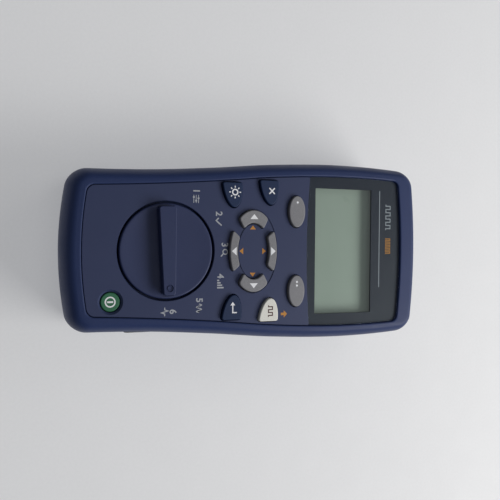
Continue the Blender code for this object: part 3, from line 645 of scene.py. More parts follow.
def display_cell(name):
    """A resting reflective display: grey-green, with a faint grid of cells and a faint painted glow that
    lifts its shade.
    """
    made = surface(name, (0.39, 0.46, 0.375), 0.32, texture=900, speckle=0.012, bump=0.03)
    tree, shader = tree_and_shader(made)
    base = shader.inputs["Base Color"].links[0].from_socket
    split = node(tree, "ShaderNodeSeparateXYZ", {0: position(tree)})
    lines = []
    for axis in ("X", "Y"):
        turn = maths(tree, "MULTIPLY", split.outputs[axis], 2 * math.pi / CELL_PITCH)
        lines.append(spread(tree, maths(tree, "COSINE", turn), (0.75, 1.0), (1.0, 0.965)))
    feed(shader, {
        "Base Color": tinted(tree, base, maths(tree, "MINIMUM", *lines)),
        # Painted glow: a weak emission that lightens the display and its shaded edge, though the display is
        # off
        "Emission Color": (0.94, 1.0, 0.95, 1),
        "Emission Strength": 0.05,
    })
    return made


def circuit_board(name):
    """Green solder mask with lighter copper lanes under it."""
    made = surface(name, (0.012, 0.10, 0.045), 0.35, texture=1200, speckle=0.05)
    tree, shader = tree_and_shader(made)
    lanes = {"Vector": position(tree), "Scale": 260.0, "Mortar Size": 0.03, "Color1": (0.012, 0.10, 0.045, 1),
             "Color2": (0.014, 0.12, 0.05, 1), "Mortar": (0.03, 0.20, 0.08, 1)}
    feed(shader, {"Base Color": node(tree, "ShaderNodeTexBrick", lanes).outputs["Color"]})
    return made


MATT = 0.4  # specular level of the blue mouldings

# Name, colour, roughness, grains per metre, then how uneven the colour is and how deep the texture
CASE = surface("case_blue", (0.023, 0.040, 0.122), 0.45, 2600, 0.05, 0.3, specular=0.25)
PANEL = surface("panel_blue", (0.028, 0.041, 0.109), 0.5, 3600, 0.05, 0.22, 0.00003, MATT)
KNOB = surface("knob_blue", (0.023, 0.035, 0.104), 0.48, 3000, 0.05, 0.28, specular=MATT)
GREY_KEY = surface("key_grey", (0.24, 0.24, 0.257), 0.62, 3400, 0.16, 0.3)
NAVY_KEY = surface("key_navy", (0.011, 0.027, 0.082), 0.58, 3400, 0.12, 0.3, specular=0.3)
IVORY_KEY = surface("key_ivory", (0.84, 0.83, 0.77), 0.58, 3400, 0.04, 0.3)
GREEN_KEY = surface("key_green", (0.026, 0.155, 0.074), 0.55, 3400, 0.08, 0.3)
BLACK = surface("moulded_black", (0.018, 0.019, 0.022), 0.5, 2600, 0.1, 0.35)
RUBBER = surface("rubber_black", (0.020, 0.022, 0.028), 0.72, 4200, 0.12, 0.5)
SILICONE = surface("silicone_grey", (0.12, 0.12, 0.13), 0.7, 3000, 0.08)
NATURAL = surface("nylon_white", (0.72, 0.71, 0.67), 0.45, 2200, 0.03)
INK_WHITE = surface("ink_white", (0.93, 0.94, 0.97), 0.6, 6000, 0.06, 0.15)
INK_LIGHT = surface("ink_light", (0.42, 0.44, 0.48), 0.6, 6000, 0.08, 0.15)
INK_ORANGE = surface("ink_orange", (0.55, 0.235, 0.035), 0.6, 6000, 0.08, 0.15)
INK_DARK = surface("ink_dark", (0.075, 0.022, 0.022), 0.6, 6000, 0.08, 0.15)
BORDER = surface("window_border", (0.009, 0.014, 0.031), 0.5, 5000, 0.06, 0.1)
SLEEVE_DARK = surface("sleeve_dark", (0.022, 0.024, 0.028), 0.3, 1500, 0.05, 0.08)
SLEEVE_BAND = surface("sleeve_teal", (0.03, 0.22, 0.26), 0.3, 1500, 0.05, 0.08)
LABEL = surface("label_silver", (0.42, 0.43, 0.45), 0.4, 3000, 0.04, 0.08)
STEEL = metal("plated_steel", (0.62, 0.62, 0.60), 0.28)
NICKEL = metal("turned_nickel", (0.66, 0.65, 0.61), 0.25, brushed="Y")
SHEET_METAL = metal("tinned_sheet", (0.58, 0.59, 0.60), 0.34, brushed="X")
GOLD = metal("gold_plate", (0.83, 0.60, 0.26), 0.25)
GLASS = window_glass("window_acrylic")
LCD = display_cell("display_cell")
PCB = circuit_board("solder_mask")


# --- keys ---


def oval_key(key):
    centre, half = footprint(key)
    return ellipse(centre, [h - KEY_FLANGE for h in half])


# Name, the angle it points along, how far it reaches each way, and the axis of the ring it is on
ARROWS = (
    ("key_arrow_right", 0, 38, 0),
    ("key_arrow_up", 90, 30, 1),
    ("key_arrow_left", 180, 38, 0),
    ("key_arrow_down", 270, 30, 1),
)


KEYS = {}
for key in ("key_soft_left", "key_soft_right"):
    KEYS[key] = (oval_key(key), GREY_KEY, "grey_key")
for key, angle, reach, _ in ARROWS:
    KEYS[key] = (arrow_outline(angle, reach), GREY_KEY, "grey_key")
for key in ("key_backlight", "key_exit", "key_enter"):
    KEYS[key] = (shield_outline(key), NAVY_KEY, "navy_key")
KEYS["key_test"] = (shield_outline("key_test"), IVORY_KEY, "ivory_key")
KEYS["key_power"] = (oval_key("key_power"), GREEN_KEY, "green_key")


def make_keys():
    for key, (outline, look, slot) in KEYS.items():
        low, high = span(key)
        flange_low = low.z + 2.9
        flange_high = flange_low + 1.3
        rounding = fillet(high.z - KEY_ROUNDING, KEY_ROUNDING, 6)
        levels = [(-KEY_FLANGE, flange_low), (-KEY_FLANGE, flange_high), (0, flange_high), *rounding,
                  (KEY_ROUNDING, high.z)]
        cap = stack(softened(outline, KEY_SOFTNESS, 6), levels)
        piece(key + "_cap", cap, look, key, [key], sharpest=40)


# --- case ---

BAY_LOW, BAY_HIGH = span("end_panel")
BAY = ((BAY_LOW.x + 1.8, BAY_LOW.z + 1.8), (BAY_HIGH.x - 1.8, BAY_HIGH.z - 1.8))
PORT = middle("port_cover")
PORT_HALF = (9.5, 4.0)
SCREWS = [middle(f"case_screw_{n}") for n in (1, 2, 3, 4)]


def bay_cutter():
    """The end opening, flared at its mouth."""
    end = LENGTH / 2
    levels = [(0, 80), (0, end - 4.2), (-0.25, end - 3.2), (-1.1, end - 1.0), (-2.4, end + 1.5)]
    return stack(rectangle(*BAY, 1.6), levels, "Y")


def port_seat():
    outline = rounded_rectangle((PORT.y, PORT.z), (PORT_HALF[0] + GAP, PORT_HALF[1] + GAP), 2.0)
    surface_x = half_width(PORT.y)
    levels = [(0, 34.7), (0, surface_x - 0.5), (-0.35, surface_x), (-0.9, surface_x + 3)]
    return stack(outline, levels, "X")


def front_shell():
    """The upper half of the case: recess, rim, shoulder and side, then back up inside the wall."""
    lip = 0.45
    rings = [at(recess_outline(0), RECESS_FLOOR), at(recess_outline(0), RIM_TOP - lip)]
    for i in range(1, 5):
        turn = math.radians(90 * i / 4)
        rings.append(at(recess_outline(-0.5 * (1 - math.cos(turn))), RIM_TOP - lip + 0.4 * math.sin(turn)))
    rings.append(at(recess_outline(-0.65), RIM_TOP))
    steps = 16
    for i in range(steps, -1, -1):
        turn = math.radians(90 * i / steps)
        share = 1 - math.cos(turn)
        z = SHOULDER + (RIM_TOP - 0.1 - SHOULDER) * math.sin(turn)
        rings.append(at(inset_outline(5.3 * share, belly_inset(z), 4.4 * share), z))
    drawn_in = belly_inset(SEAM)
    rings += [
        at(inset_outline(0), BELLY),
        at(inset_outline(0, drawn_in, 0), SEAM + 0.35),
        at(inset_outline(0.35, 0.35 + drawn_in, 0.35), SEAM),
        at(inset_outline(2.0, 2.0 + drawn_in, 2.0), SEAM),
        at(inset_outline(2.1, 2.5), SHOULDER),
        at(inset_outline(4.0, 4.6, 4.6), 33.6),
        at(inset_outline(7.2, 9.6, 12.6), 34.9),
    ]
    shell = piece("front_shell", loft(rings), CASE, "case", ["front_case"])
    well = DIAL_RADIUS + 1.5
    well_floor, key_floor = 33.0, 33
    (x0, _), (x1, z1) = BAY
    additions = [
        disc(DIAL, well + 1.5, well_floor - 1.5, 36),
        block((x0 - 2, 84.5, SEAM), (x1 + 2, 87.2, z1 + 2), 0.2),
    ]
    carve(shell, "UNION", additions)
    low, high = span("lcd_frame")
    cuts = [
        disc(DIAL, well, well_floor, 39.5),
        block((low.x - GAP, low.y - GAP, key_floor), (high.x + GAP, high.y + GAP, 38), 0.1),
        bay_cutter(),
        port_seat(),
        block((30, PORT.y - 4.8, PORT.z - 2.6), (40, PORT.y + 4.8, PORT.z + 2.6), 0.6, axis="X"),
    ]
    cuts += [prism(offset(outline, KEY_CLEARANCE), key_floor, 38) for outline, _, _ in KEYS.values()]
    carve(shell, "DIFFERENCE", cuts)


def hole(outline, clearance, flare):
    """A hole through the face sheet, with its upper edge broken."""
    wide = -clearance - flare
    top = PANEL_TOP
    levels = [(-clearance, PANEL_LOW.z - 1), (-clearance, top - flare), (wide, top), (wide, top + 1)]
    return stack(outline, levels)


def face_sheet():
    outline = recess_outline(GAP, high_end=lens_seam(-GAP / 2), corners=(RECESS_CORNER, 0.6))
    levels = [(0, PANEL_LOW.z), *fillet(PANEL_TOP - 0.22, 0.22), (0.22, PANEL_TOP)]
    sheet = piece("face_sheet", stack(outline, levels), PANEL, "case", ["face_panel"])
    margin = 0.75
    outer = ellipse(ARROW_CENTRE, [r + margin for r in ARROW_OUTER], steps=96)
    inner = ellipse(ARROW_CENTRE, [r - margin for r in ARROW_INNER], steps=96)
    carve(sheet, "DIFFERENCE", [band(outer, inner, PANEL_TOP - 0.3, PANEL_TOP + 1)])
    ring, flare = DIAL_RADIUS + 1.0, 0.2
    opening = ((0, 36), (ring, 36), (ring, PANEL_TOP - flare), (ring + flare, PANEL_TOP), (ring + flare, 40),
               (0, 40))
    cuts = [turned(opening, DIAL, steps=96)]
    for name, (key, _, _) in KEYS.items():
        cuts.append(hole(softened(key, KEY_SOFTNESS, 6), KEY_CLEARANCE, 0.9 if name == "key_power" else 0.14))
    carve(sheet, "DIFFERENCE", cuts)


DOOR_LOW, DOOR_HIGH = span("battery_door")
DOOR_SCREW = middle("door_screw")
DOOR_THICK = 2.0
BAY_SIDE = DOOR_HIGH.x + GAP
BAY_BOTTOM = -72.5
BAY_TOP = -14.5
BAY_ROOF = 18.0
EAR = (6.0, DOOR_HIGH.y)
TAB_X = 14.9
RAIL_ENDS = (-10.5, 52.0)
RAIL_Z = (8.2, 16.6)
RAIL_PROUD = 0.9
LABEL_PLACE = ((0.0, 33.0), (27.0, 15.0))


def side_rail(sign):
    low, high = RAIL_Z
    start, end = RAIL_ENDS
    rings = []
    steps = 24
    for i in range(steps + 1):
        y = start + (end - start) * i / steps
        inside = half_width(y) - 1.0
        outside = half_width(y) + RAIL_PROUD * (1 - i / steps) - 0.1
        rows = ((inside, low), (outside - 0.25, low + 0.45), (outside, low + 0.8), (outside, high - 0.8),
                (outside - 0.25, high - 0.45), (inside, high))
        rings.append([(sign * x, y, z) for x, z in rows])
    return loft(rings)


def rear_shell():
    """The lower half of the case: up inside the wall, then down its outside and round the back's edge."""
    rings = []

    def ring(z, inset):
        rings.append(at(inset_outline(inset, inset + belly_inset(max(z, BACK_ROUND)), inset), z))

    high = span("rear_case")[1]
    seam = SEAM - GAP
    for z, inset in ((2.0, 5.6), (4.6, 2.9), (9.0, 2.0), (seam, 2.0), (seam, 0.35), (seam - 0.35, 0)):
        ring(z, inset)
    steps = 12
    for i in range(steps + 1):
        turn = math.radians(90 * i / steps)
        ring(BACK_ROUND * (1 - math.sin(turn)), 4.7 * (1 - math.cos(turn)))
    shell = piece("rear_shell", loft(rings), CASE, "case", ["rear_case"])
    (x0, z0), (x1, _) = BAY
    outer = BAY_SIDE + 1.5
    web_low, boss_high = DOOR_THICK + GAP, 16
    boss = (DOOR_SCREW.x, DOOR_SCREW.y)
    additions = [
        block((-outer, BAY_BOTTOM - 1.5, 0.8), (outer, BAY_TOP + 1.5, high.z), 0.4),
        disc(boss, 4.2, web_low, boss_high, steps=MEDIUM),
        block((-3.5, BAY_TOP, web_low), (3.5, boss[1], boss_high), 0.2),
        block((x0 - 2, 84.5, z0 - 2), (x1 + 2, 87.2, seam), 0.2),
        side_rail(-1),
        side_rail(1),
    ]
    additions += [disc(screw, 4.3, 1, seam - 0.2, steps=MEDIUM) for screw in SCREWS]
    carve(shell, "UNION", additions)
    flare = 0.3
    mouth = rectangle((-BAY_SIDE, BAY_BOTTOM), (BAY_SIDE, BAY_TOP), 0.5)
    ear_half = (EAR[0] + GAP, (EAR[1] + GAP - BAY_TOP) / 2 + 1.0)
    ear = rounded_rectangle((0, (BAY_TOP + EAR[1]) / 2), ear_half, 0.8)
    (x, y), (half_x, half_y) = LABEL_PLACE
    cuts = [
        stack(mouth, [(-1, -2), (-flare, 0), (0, flare), (0, BAY_ROOF)]),
        stack(ear, [(-1, -2), (-flare, 0), (0, flare), (0, web_low)]),
        disc(boss, 2.0, 1, 9, steps=MEDIUM),
        bay_cutter(),
        block((x - half_x, y - half_y, -1), (x + half_x, y + half_y, 0.25), 0.1, 1.5),
    ]
    for x in (-TAB_X, TAB_X):
        cuts.append(block((x - 4.4, BAY_BOTTOM - 4, DOOR_THICK), (x + 4.4, BAY_BOTTOM + 1, 5.2), 0.1))
    bore = ((0, -2), (4.0, -2), (3.3, 0), (3.0, 0.4), (3.0, 11), (1.8, 11.2), (1.8, 20), (0, 20))
    cuts += [turned(bore, screw, steps=MEDIUM) for screw in SCREWS]
    carve(shell, "DIFFERENCE", cuts)


def case_screws():
    for number, screw in enumerate(SCREWS, 1):
        name = f"case_screw_{number}"
        low, high = (corner.z for corner in span(name))
        profile = ((0, low), (1.9, low + 0.05), (2.4, low + 0.3), (2.6, low + 0.75), (2.6, low + 2.3),
                   (1.4, low + 2.3), (1.4, high - 1.2), (0.5, high), (0, high))
        bolt = turned(profile, screw, steps=MEDIUM)
        made = piece(f"case_bolt_{number}", bolt, STEEL, "case", [name])
        recess = stack(cross_outline(screw, 1.45, 0.32), [(-0.15, low - 0.5), (0.12, low + 1.3)])
        carve(made, "DIFFERENCE", [recess])


def battery_door():
    edge = 0.3
    side = DOOR_HIGH.x
    bottom, top = BAY_BOTTOM + GAP, BAY_TOP - GAP
    corners = ((-side, bottom), (side, top))
    levels = [(edge + 0.1, 0), *fillet(edge, -edge), *fillet(DOOR_THICK - 0.15, 0.15), (0.15, DOOR_THICK)]
    panel = stack(rectangle(*corners, 0.5), levels)
    door = piece("battery_cover", panel, BLACK, "battery_door", ["battery_door"])
    ear = rounded_rectangle((0, (top - 2 + EAR[1]) / 2), (EAR[0], (EAR[1] - top + 2) / 2), 0.8)
    additions = [stack(ear, levels)]
    tab_top = DOOR_HIGH.z
    for x in (-TAB_X, TAB_X):
        for y, z, rounding in ((bottom, 1.0, 0.1), (DOOR_LOW.y, DOOR_THICK + GAP, 0.2)):
            additions.append(block((x - 4, y, z), (x + 4, BAY_BOTTOM + 1.5, tab_top), rounding))
    carve(door, "UNION", additions)
    well = ((0, -1), (3.9, -1), (3.65, 0), (3.5, 0.2), (3.5, 1.2), (2.0, 1.2), (2.0, 3), (0, 3))
    cuts = [turned(well, DOOR_SCREW, steps=48)]
    for i in range(7):
        groove = rounded_rectangle((0, BAY_TOP - 9.0 - 2.1 * i), (12.0 - 0.9 * i, 0.5), 0.45)
        cuts.append(stack(groove, [(-0.5, -0.5), (0, 0.05), (0.2, 0.45)]))
    arrow = softened([(-5.0, BAY_TOP - 27.0), (0, BAY_TOP - 31.5), (5.0, BAY_TOP - 27.0)], 0.5)
    cuts.append(stack(arrow, [(-0.4, -0.4), (0, 0.05), (0.1, 0.35)]))
    cuts.append(band(rectangle(*corners, 2.0, 3.0), rectangle(*corners, 1.6, 3.5), -0.5, 0.25))
    carve(door, "DIFFERENCE", cuts)


def door_screw():
    low, high = (corner.z for corner in span("door_screw"))
    profile = ((0, low), (2.6, low), (2.95, low + 0.12), (3.1, low + 0.35), (3.1, low + 0.8),
               (1.5, low + 0.8), (1.5, high - 0.7), (0.9, high), (0, high))
    head = turned(profile, DOOR_SCREW, steps=48)
    screw = piece("door_turn_screw", head, STEEL, "door_screw", ["door_screw"])
    slot = rounded_rectangle((DOOR_SCREW.x, DOOR_SCREW.y), (4.0, 0.45), 0.1)
    carve(screw, "DIFFERENCE", [prism(slot, -1, low + 0.45)])


def back_label():
    (x, y), half = LABEL_PLACE

    def outline(inset, corner):
        return rounded_rectangle((x, y), [h - inset for h in half], corner)

    piece("back_label", prism(outline(0.4, 1.2), 0.08, 0.3), LABEL, "case")
    shape = bmesh.new()
    ink = (0.03, 0.1)
    band(outline(1.6, 0.8), outline(1.9, 0.6), *ink, shape)
    for i in range(4):
        cell = (x - 15 + 10 * i, y - 5.5)
        out = rounded_rectangle(cell, (3.9, 1.9), 0.5)
        band(out, offset(out, -0.3), *ink, shape)
        end = 4.5 if i % 2 == 0 else -4.5
        prism(rounded_rectangle((cell[0] + end, cell[1]), (0.45, 0.9), 0.15), *ink, into=shape)
    for i in range(3):
        prism(rounded_rectangle((x, y + 9 - 3.2 * i), (18.0 - 4.0 * i, 0.35), 0.3), *ink, into=shape)
    piece("back_label_print", shape, INK_DARK, "case")


# --- display ---

WINDOW = ((-30.3, 30.2), (30.3, 61.2))


def display():
    outline = recess_outline(GAP, low_end=lens_seam(GAP / 2), corners=(0.6, RECESS_CORNER))
    bottom, top = LENS_LOW.z, LENS_HIGH.z
    sheet_top = bottom + 0.12
    levels = [(0.1, sheet_top + 0.06), (0, sheet_top + 0.16), *fillet(top - 0.2, 0.2), (0.2, top)]
    piece("window_lens", stack(outline, levels), GLASS, "case", ["display_lens"])
    border = piece("window_border", prism(outline, bottom, sheet_top, 0.05), BORDER, "case")
    carve(border, "DIFFERENCE", [prism(rectangle(*WINDOW, 0.5), bottom - 1, sheet_top + 1)])

    low, high = span("lcd_frame")
    outer = rectangle(low, high, 0.6)
    well = band(outer, offset(outer, -0.75), low.z, high.z)
    piece("display_well", well, BLACK, "case", ["lcd_frame"])

    low, high = span("lcd_glass")
    step = high.z - 0.35
    shape = block(low, (high.x, high.y, step), 0.08)
    block((low.x + 0.8, low.y + 0.8, step), (high.x - 0.8, high.y - 0.8, high.z), 0.05, into=shape)
    piece("display_glass", shape, LCD, "case", ["lcd_glass"])


# --- selector ---


def on_dial(x, y):
    """A point of the knob, given along and across its pointer."""
    turn = math.radians(POINTER_ANGLE)
    return (
        DIAL.x + x * math.cos(turn) - y * math.sin(turn),
        DIAL.y + x * math.sin(turn) + y * math.cos(turn),
    )


def knob():
    """A dished disc with a raised bar across it, and a groove past each end of the bar."""
    top, under, bore = 38.3, 36.0, 35.4
    profile = [(0, 37.7), (7, 37.73), (14, 37.85), (18.2, 38.12), (19.6, top)]
    for i in range(7):
        turn = math.radians(90 * i / 6)
        profile.append((DIAL_RADIUS - 0.7 * (1 - math.sin(turn)), top - 0.7 * (1 - math.cos(turn))))
    profile += [(DIAL_RADIUS, 33.9), (19.4, 33.9), (19.4, under), (5.0, under), (5.0, KNOB_LOW.z),
                (3.4, KNOB_LOW.z), (3.4, bore), (0, bore)]
    plate = turned(profile, DIAL, steps=128)
    made = piece("selector_dial", plate, KNOB, "selector", ["selector_knob"])
    ends = []
    for angle, reach, outer, depth in ((180, 11.5, 20.35, 0.45), (0, 7.5, 20.0, 0.3)):
        arc = ellipse((0, 0), (outer, outer), angle - reach, angle + reach, 8, closed=False)
        arc += ellipse((0, 0), (19.0, 19.0), angle + reach, angle - reach, 8, closed=False)
        ends.append(prism([on_dial(x, y) for x, y in arc], top - depth, top + 1))
    carve(made, "DIFFERENCE", ends)
    points = [(19.4, -3.0), (19.4, 2.6), (-19.7, 4.1), (-19.7, -3.9)]
    outline = softened([on_dial(x, y) for x, y in points], 1.3, steps=7)
    high, rounding, draft = KNOB_HIGH.z, 0.4, 0.1
    levels = [(0, 36.6), (0.05, 38.0), *fillet(high - rounding, rounding, 6, draft), (rounding + draft, high)]
    carve(made, "UNION", [stack(outline, levels)])
    pit = ((0, -0.2), (1.8, -0.2), (1.6, 0.1), (1.45, 0.45), (1.15, 0.45), (1.0, 0.1), (0.85, 0.1),
           (0.75, 0.25), (0, 0.25))
    mark = turned([(r, high - depth) for r, depth in pit], on_dial(16.2, -0.2), steps=MEDIUM)
    carve(made, "DIFFERENCE", [mark])


# --- side port ---


def port_flap():
    """A rubber cover with a plug behind it and five finger grooves near its free end."""
    outline = rounded_rectangle((PORT.y, PORT.z), PORT_HALF, 1.8, 7)
    proud = half_width(PORT.y) + 0.5
    levels = [(0.15, 35.0), (0, 35.15), (0, proud - 0.5), *fillet(proud - 0.5, 0.5, 5), (0.5, proud)]
    cover = stack(outline, levels, "X")
    flap = piece("port_flap", cover, RUBBER, "port_cover", ["port_cover"])
    inner = span("port_cover")[0].x
    plug = block((inner, PORT.y - 3.6, PORT.z - 1.9), (35.4, PORT.y + 3.6, PORT.z + 1.9), 0.4, 1.0, "X")
    carve(flap, "UNION", [plug])
    cuts = []
    for i in range(5):
        groove = rounded_rectangle((PORT.y + 2.6 + 1.25 * i, PORT.z), (0.3, 2.3), 0.28)
        cuts.append(stack(groove, [(0.15, proud - 0.28), (0, proud - 0.1), (-0.3, proud + 0.3)], "X"))
    carve(flap, "DIFFERENCE", cuts)


# --- end sockets ---

COAX = (middle("coax_insulator").x, middle("coax_insulator").z)


def socket_panel():
    """The sheet that closes the end opening, with its two openings and two blind screw seats."""
    low, high = span("end_panel")
    sheet = block(low, high, 0.15, 0.5, "Y")
    panel = piece("socket_panel", sheet, BLACK, "case", ["end_panel"])
    centre, half = footprint("jack_shield", "xz")
    window = rounded_rectangle(centre, [h + GAP for h in half], 0.4)
    mouth = high.y
    cuts = [
        stack(window, [(0, 80), (0, mouth - 0.25), (-0.25, mouth), (-0.25, 90)], "Y"),
        disc(COAX, 5.1, 80, 90, "Y", 48),
    ]
    seat = ((0, mouth - 0.6), (1.5, mouth - 0.6), (1.7, mouth + 1), (0, mouth + 1))
    for x in (-26.0, 26.0):
        cuts.append(turned(seat, (x, (low.z + high.z) / 2), "Y", 24))
    carve(panel, "DIFFERENCE", cuts)


def network_jack():
    """A screened eight-way socket with its latch way and its sprung contacts."""
    low, high = span("jack_shield")
    shield = block(low, high, 0.12, 0.5, "Y")
    can = piece("jack_can", shield, SHEET_METAL, "case", ["jack_shield"])
    wall = 0.5
    inside_low = [value + wall for value in low]
    inside = block(inside_low, (high.x - wall, high.y + 5, high.z - wall), 0.1, 0.3, "Y")
    carve(can, "DIFFERENCE", [inside])

    low, high = span("network_jack")
    opening = record_opening("network_jack_socket")
    x_mid = (opening[0].x + opening[1].x) / 2
    floor, roof, front = opening[0].z - 0.2, high.z - 2.5, high.y
    housing = block(low, high, 0.2, 0.4, "Y")
    body = piece("jack_body", housing, BLACK, "case", ["network_jack"])
    ways = []
    for half, bottom, ceiling, start, flare in (
        (5.95, floor, roof, 70.5, 0.35),
        (3.2, floor - 1.6, floor + 1, 73.0, 0.2),
        (2.0, floor - 2.4, floor + 1, 79.0, 0.2),
    ):
        outline = rectangle((x_mid - half, bottom), (x_mid + half, ceiling), 0.15)
        levels = [(0, start), (0, front - flare), (-flare, front), (-flare, front + 3)]
        ways.append(stack(outline, levels, "Y"))
    lanes = [x_mid - 3.57 + 1.02 * i for i in range(8)]
    for x in lanes:
        ways.append(block((x - 0.28, 72, roof - 0.1), (x + 0.28, 83.0, roof + 0.45), 0.05, axis="Y"))
    carve(body, "DIFFERENCE", ways)

    shape = bmesh.new()
    bends = ((71.2, 0), (76, 0), (80.6, 0), (81.5, 0.15), (82.0, 0.6), (81.6, 1.1), (80.6, 1.5), (77.5, 2.5),
             (74.5, 3.4))
    for x in lanes:
        tube([(x, y, roof + 0.12 - drop) for y, drop in bends], 0.21, 10, shape)
    block((x_mid - 4.1, 70.75, roof - 0.35), (x_mid + 4.1, 71.6, roof + 0.3), 0.08, into=shape)
    piece("jack_springs", shape, GOLD, "case", ["jack_contacts"])


def coax_socket():
    """A threaded barrel with a square foot, an insulating core and a hexagonal nut."""
    low, high = span("coax_connector")
    outer, root, end = 4.75, 4.75 - 0.35, high.y
    profile = [(0, 74.0), (outer, 74.0), (outer, 83.8)]
    pitch = 0.79
    y = 83.9
    while y < end - 0.9:
        profile += [(root, y), (root, y + 0.12), (outer, y + pitch * 0.45), (outer, y + pitch * 0.6)]
        y += pitch
    profile += [(root, end - 0.5), (outer - 0.45, end), (3.4, end), (3.25, end - 0.3), (3.4, end - 0.6),
                (3.4, 80.0), (0, 80.0)]
    barrel = turned(profile, COAX, "Y", FINE)
    made = piece("coax_barrel", barrel, NICKEL, "case", ["coax_connector"], sharpest=40)
    x, z = COAX
    foot = block((x - 5.6, low.y, z - 5.6), (x + 5.6, 82.1, z + 5.6), 0.3, 0.6, "Y")
    carve(made, "UNION", [foot])

    base, tip = (corner.y for corner in span("coax_insulator"))
    profile = ((0, base), (3.1, base), (3.1, tip - 0.2), (2.9, tip), (1.5, tip), (0.9, tip - 0.8),
               (0.8, tip - 1.0), (0.8, 81.0), (0, 81.0))
    piece("coax_core", turned(profile, COAX, "Y", 48), NATURAL, "case", ["coax_insulator"])

    low, high = span("coax_nut")
    start, end = low.y, high.y
    hexagon = softened(ellipse(COAX, ((high.z - low.z) / 2,) * 2, 90, 450, 6), 0.5, 3)
    nut = stack(hexagon, [(0.35, start), (0, start + 0.2), (0, end - 0.2), (0.35, end)], "Y")
    made = piece("coax_hex_nut", nut, NICKEL, "case", ["coax_nut"])
    bore = ((0, 80), (5.05, 80), (5.05, end - 0.3), (5.35, end), (5.6, 90), (0, 90))
    carve(made, "DIFFERENCE", [turned(bore, COAX, "Y", 48)])


def record_opening(name):
    """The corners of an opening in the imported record, in millimetres."""
    for opening in frame["record"]["physics"]["openings"]:
        if opening["name"] == name:
            return [Vector(corner) / MM for corner in opening["box_m"]]
    raise ValueError(name)


# --- battery bay ---


def battery_cells():
    for number in (1, 2, 3, 4):
        name = f"battery_{number}"
        low, high = span(name)
        centre, (radius, _) = footprint(name, "xz")
        way = 1 if number % 2 else -1
        tail, nose = (low.y, high.y) if way > 0 else (high.y, low.y)
        shoulder = nose - way * 1.2
        rows = ((0, 0.35, 0), (4.6, 0.35, 0), (4.9, 0.0, 0), (5.9, 0.0, 0), (6.2, 0.35, 0), (6.5, 0.1, 1),
                (radius, 0.7, 1))
        profile = [(r, tail + way * along, look) for r, along, look in rows]
        rows = ((radius, 15.0, 2), (radius, 0.7, 2), (radius - 0.5, 0.05, 0), (5.6, 0.3, 0), (2.9, 0.3, 0))
        profile += [(r, shoulder - way * back, look) for r, back, look in rows]
        profile += [(2.7, shoulder, 0), (2.7, nose - way * 0.3, 0), (2.4, nose, 0), (0, nose, 0)]
        looks = [STEEL, SLEEVE_DARK, SLEEVE_BAND]
        piece(f"cell_{number}", turned(profile, centre, "Y", 48), looks, "case", [name])


def coil_path(centre, start, into, length, wide, narrow, turns=4):
    points = []
    steps = turns * 20
    for i in range(steps + 1):
        share = i / steps
        angle = 2 * math.pi * turns * share
        radius = wide + (narrow - wide) * share
        x, z = centre[0] + radius * math.cos(angle), centre[1] + radius * math.sin(angle)
        points.append((x, start + into * length * share, z))
    return points


def battery_contacts():
    """Five plates at the ends of the bay; all but the third carry a coil spring."""
    for number in (1, 2, 3, 4, 5):
        name = f"battery_contact_{number}"
        low, high = span(name)
        into = 1 if low.y < (BAY_BOTTOM + BAY_TOP) / 2 else -1
        wall = low.y if into > 0 else high.y
        near, far = sorted((wall, wall + into * 0.4))
        plate = block((low.x, near, low.z), (high.x, far, high.z), 0.1, 1.2, "Y")
        made = piece(f"contact_{number}", plate, STEEL, "case", [name])
        if number != 3:
            start = far - 0.1 if into > 0 else near + 0.1
            coil = coil_path((low.x + 5.4, (low.z + high.z) / 2), start, into, 5.0, 4.6, 2.4)
            carve(made, "UNION", [tube(coil, 0.33, 10)])


# --- printing ---


def stroke(points, width, low, into):
    """A printed line of even width along points, as one flat mitred band."""
    left, right = [], []
    for i, point in enumerate(points):
        here = Vector(point)
        before = (here - Vector(points[i - 1])).normalized() if i else None
        after = (Vector(points[i + 1]) - here).normalized() if i < len(points) - 1 else None
        first, second = before or after, after or before
        n1, n2 = Vector((-first.y, first.x)), Vector((-second.y, second.x))
        miter = (n1 + n2) / (1 + n1.dot(n2))
        left.append(tuple(here + miter * (width / 2)))
        right.append(tuple(here - miter * (width / 2)))
    return flat(right + left[::-1], low, into)


def flat(outline, low, into):
    return prism(outline, low, low + INK, into=into)


def key_print(key, look, draw, shift=(0, 0)):
    """A print on a key: draw(shape, x, y, z) adds to the shape, near the middle of the key's top."""
    (x, y), _ = footprint(key)
    shape = bmesh.new()
    draw(shape, x + shift[0], y + shift[1], span(key)[1].z - INK / 2)
    piece(key + "_print", shape, look, key, sharpest=60)


def sun(shape, x, y, z):
    band(circle((x, y), 1.55), circle((x, y), 0.95), z, z + INK, shape)
    for i in range(8):
        a = math.radians(45 * i)
        ray = [(x + r * math.cos(a), y + r * math.sin(a)) for r in (2.05, 2.85)]
        stroke(ray, 0.5, z, shape)


def cross(shape, x, y, z):
    flat(cross_outline((x, y), 1.9, 0.3, 45), z, shape)


def return_arrow(shape, x, y, z):
    stroke([(x + 2.4, y + 1.5), (x + 2.4, y - 0.5), (x - 0.9, y - 0.5)], 0.55, z, shape)
    flat(triangle((x - 2.5, y - 0.5), 1.15, 1.6, 180), z, shape)


def pulses(shape, x, y, z, count=2, wide=1.35, tall=1.0, width=0.5):
    """A train of square pulses."""
    start = x - count * wide
    points = []
    for i in range(count):
        left = start + 2 * wide * i
        rise, fall = left + wide / 2, left + wide * 1.5
        points += [(left, y - tall), (rise, y - tall), (rise, y + tall), (fall, y + tall), (fall, y - tall)]
    stroke([*points, (start + 2 * wide * count, y - tall)], width, z, shape)


def power_mark(shape, x, y, z):
    band(circle((x, y), 2.35, 48), circle((x, y), 1.75, 48), z, z + INK, shape)
    flat(rounded_rectangle((x, y), (0.38, 1.3), 0.15), z, shape)


def dots(count):
    def draw(shape, x, y, z):
        for i in range(count):
            flat(circle((x - 4.3 + 1.7 * i, y), 0.52), z, shape)

    return draw


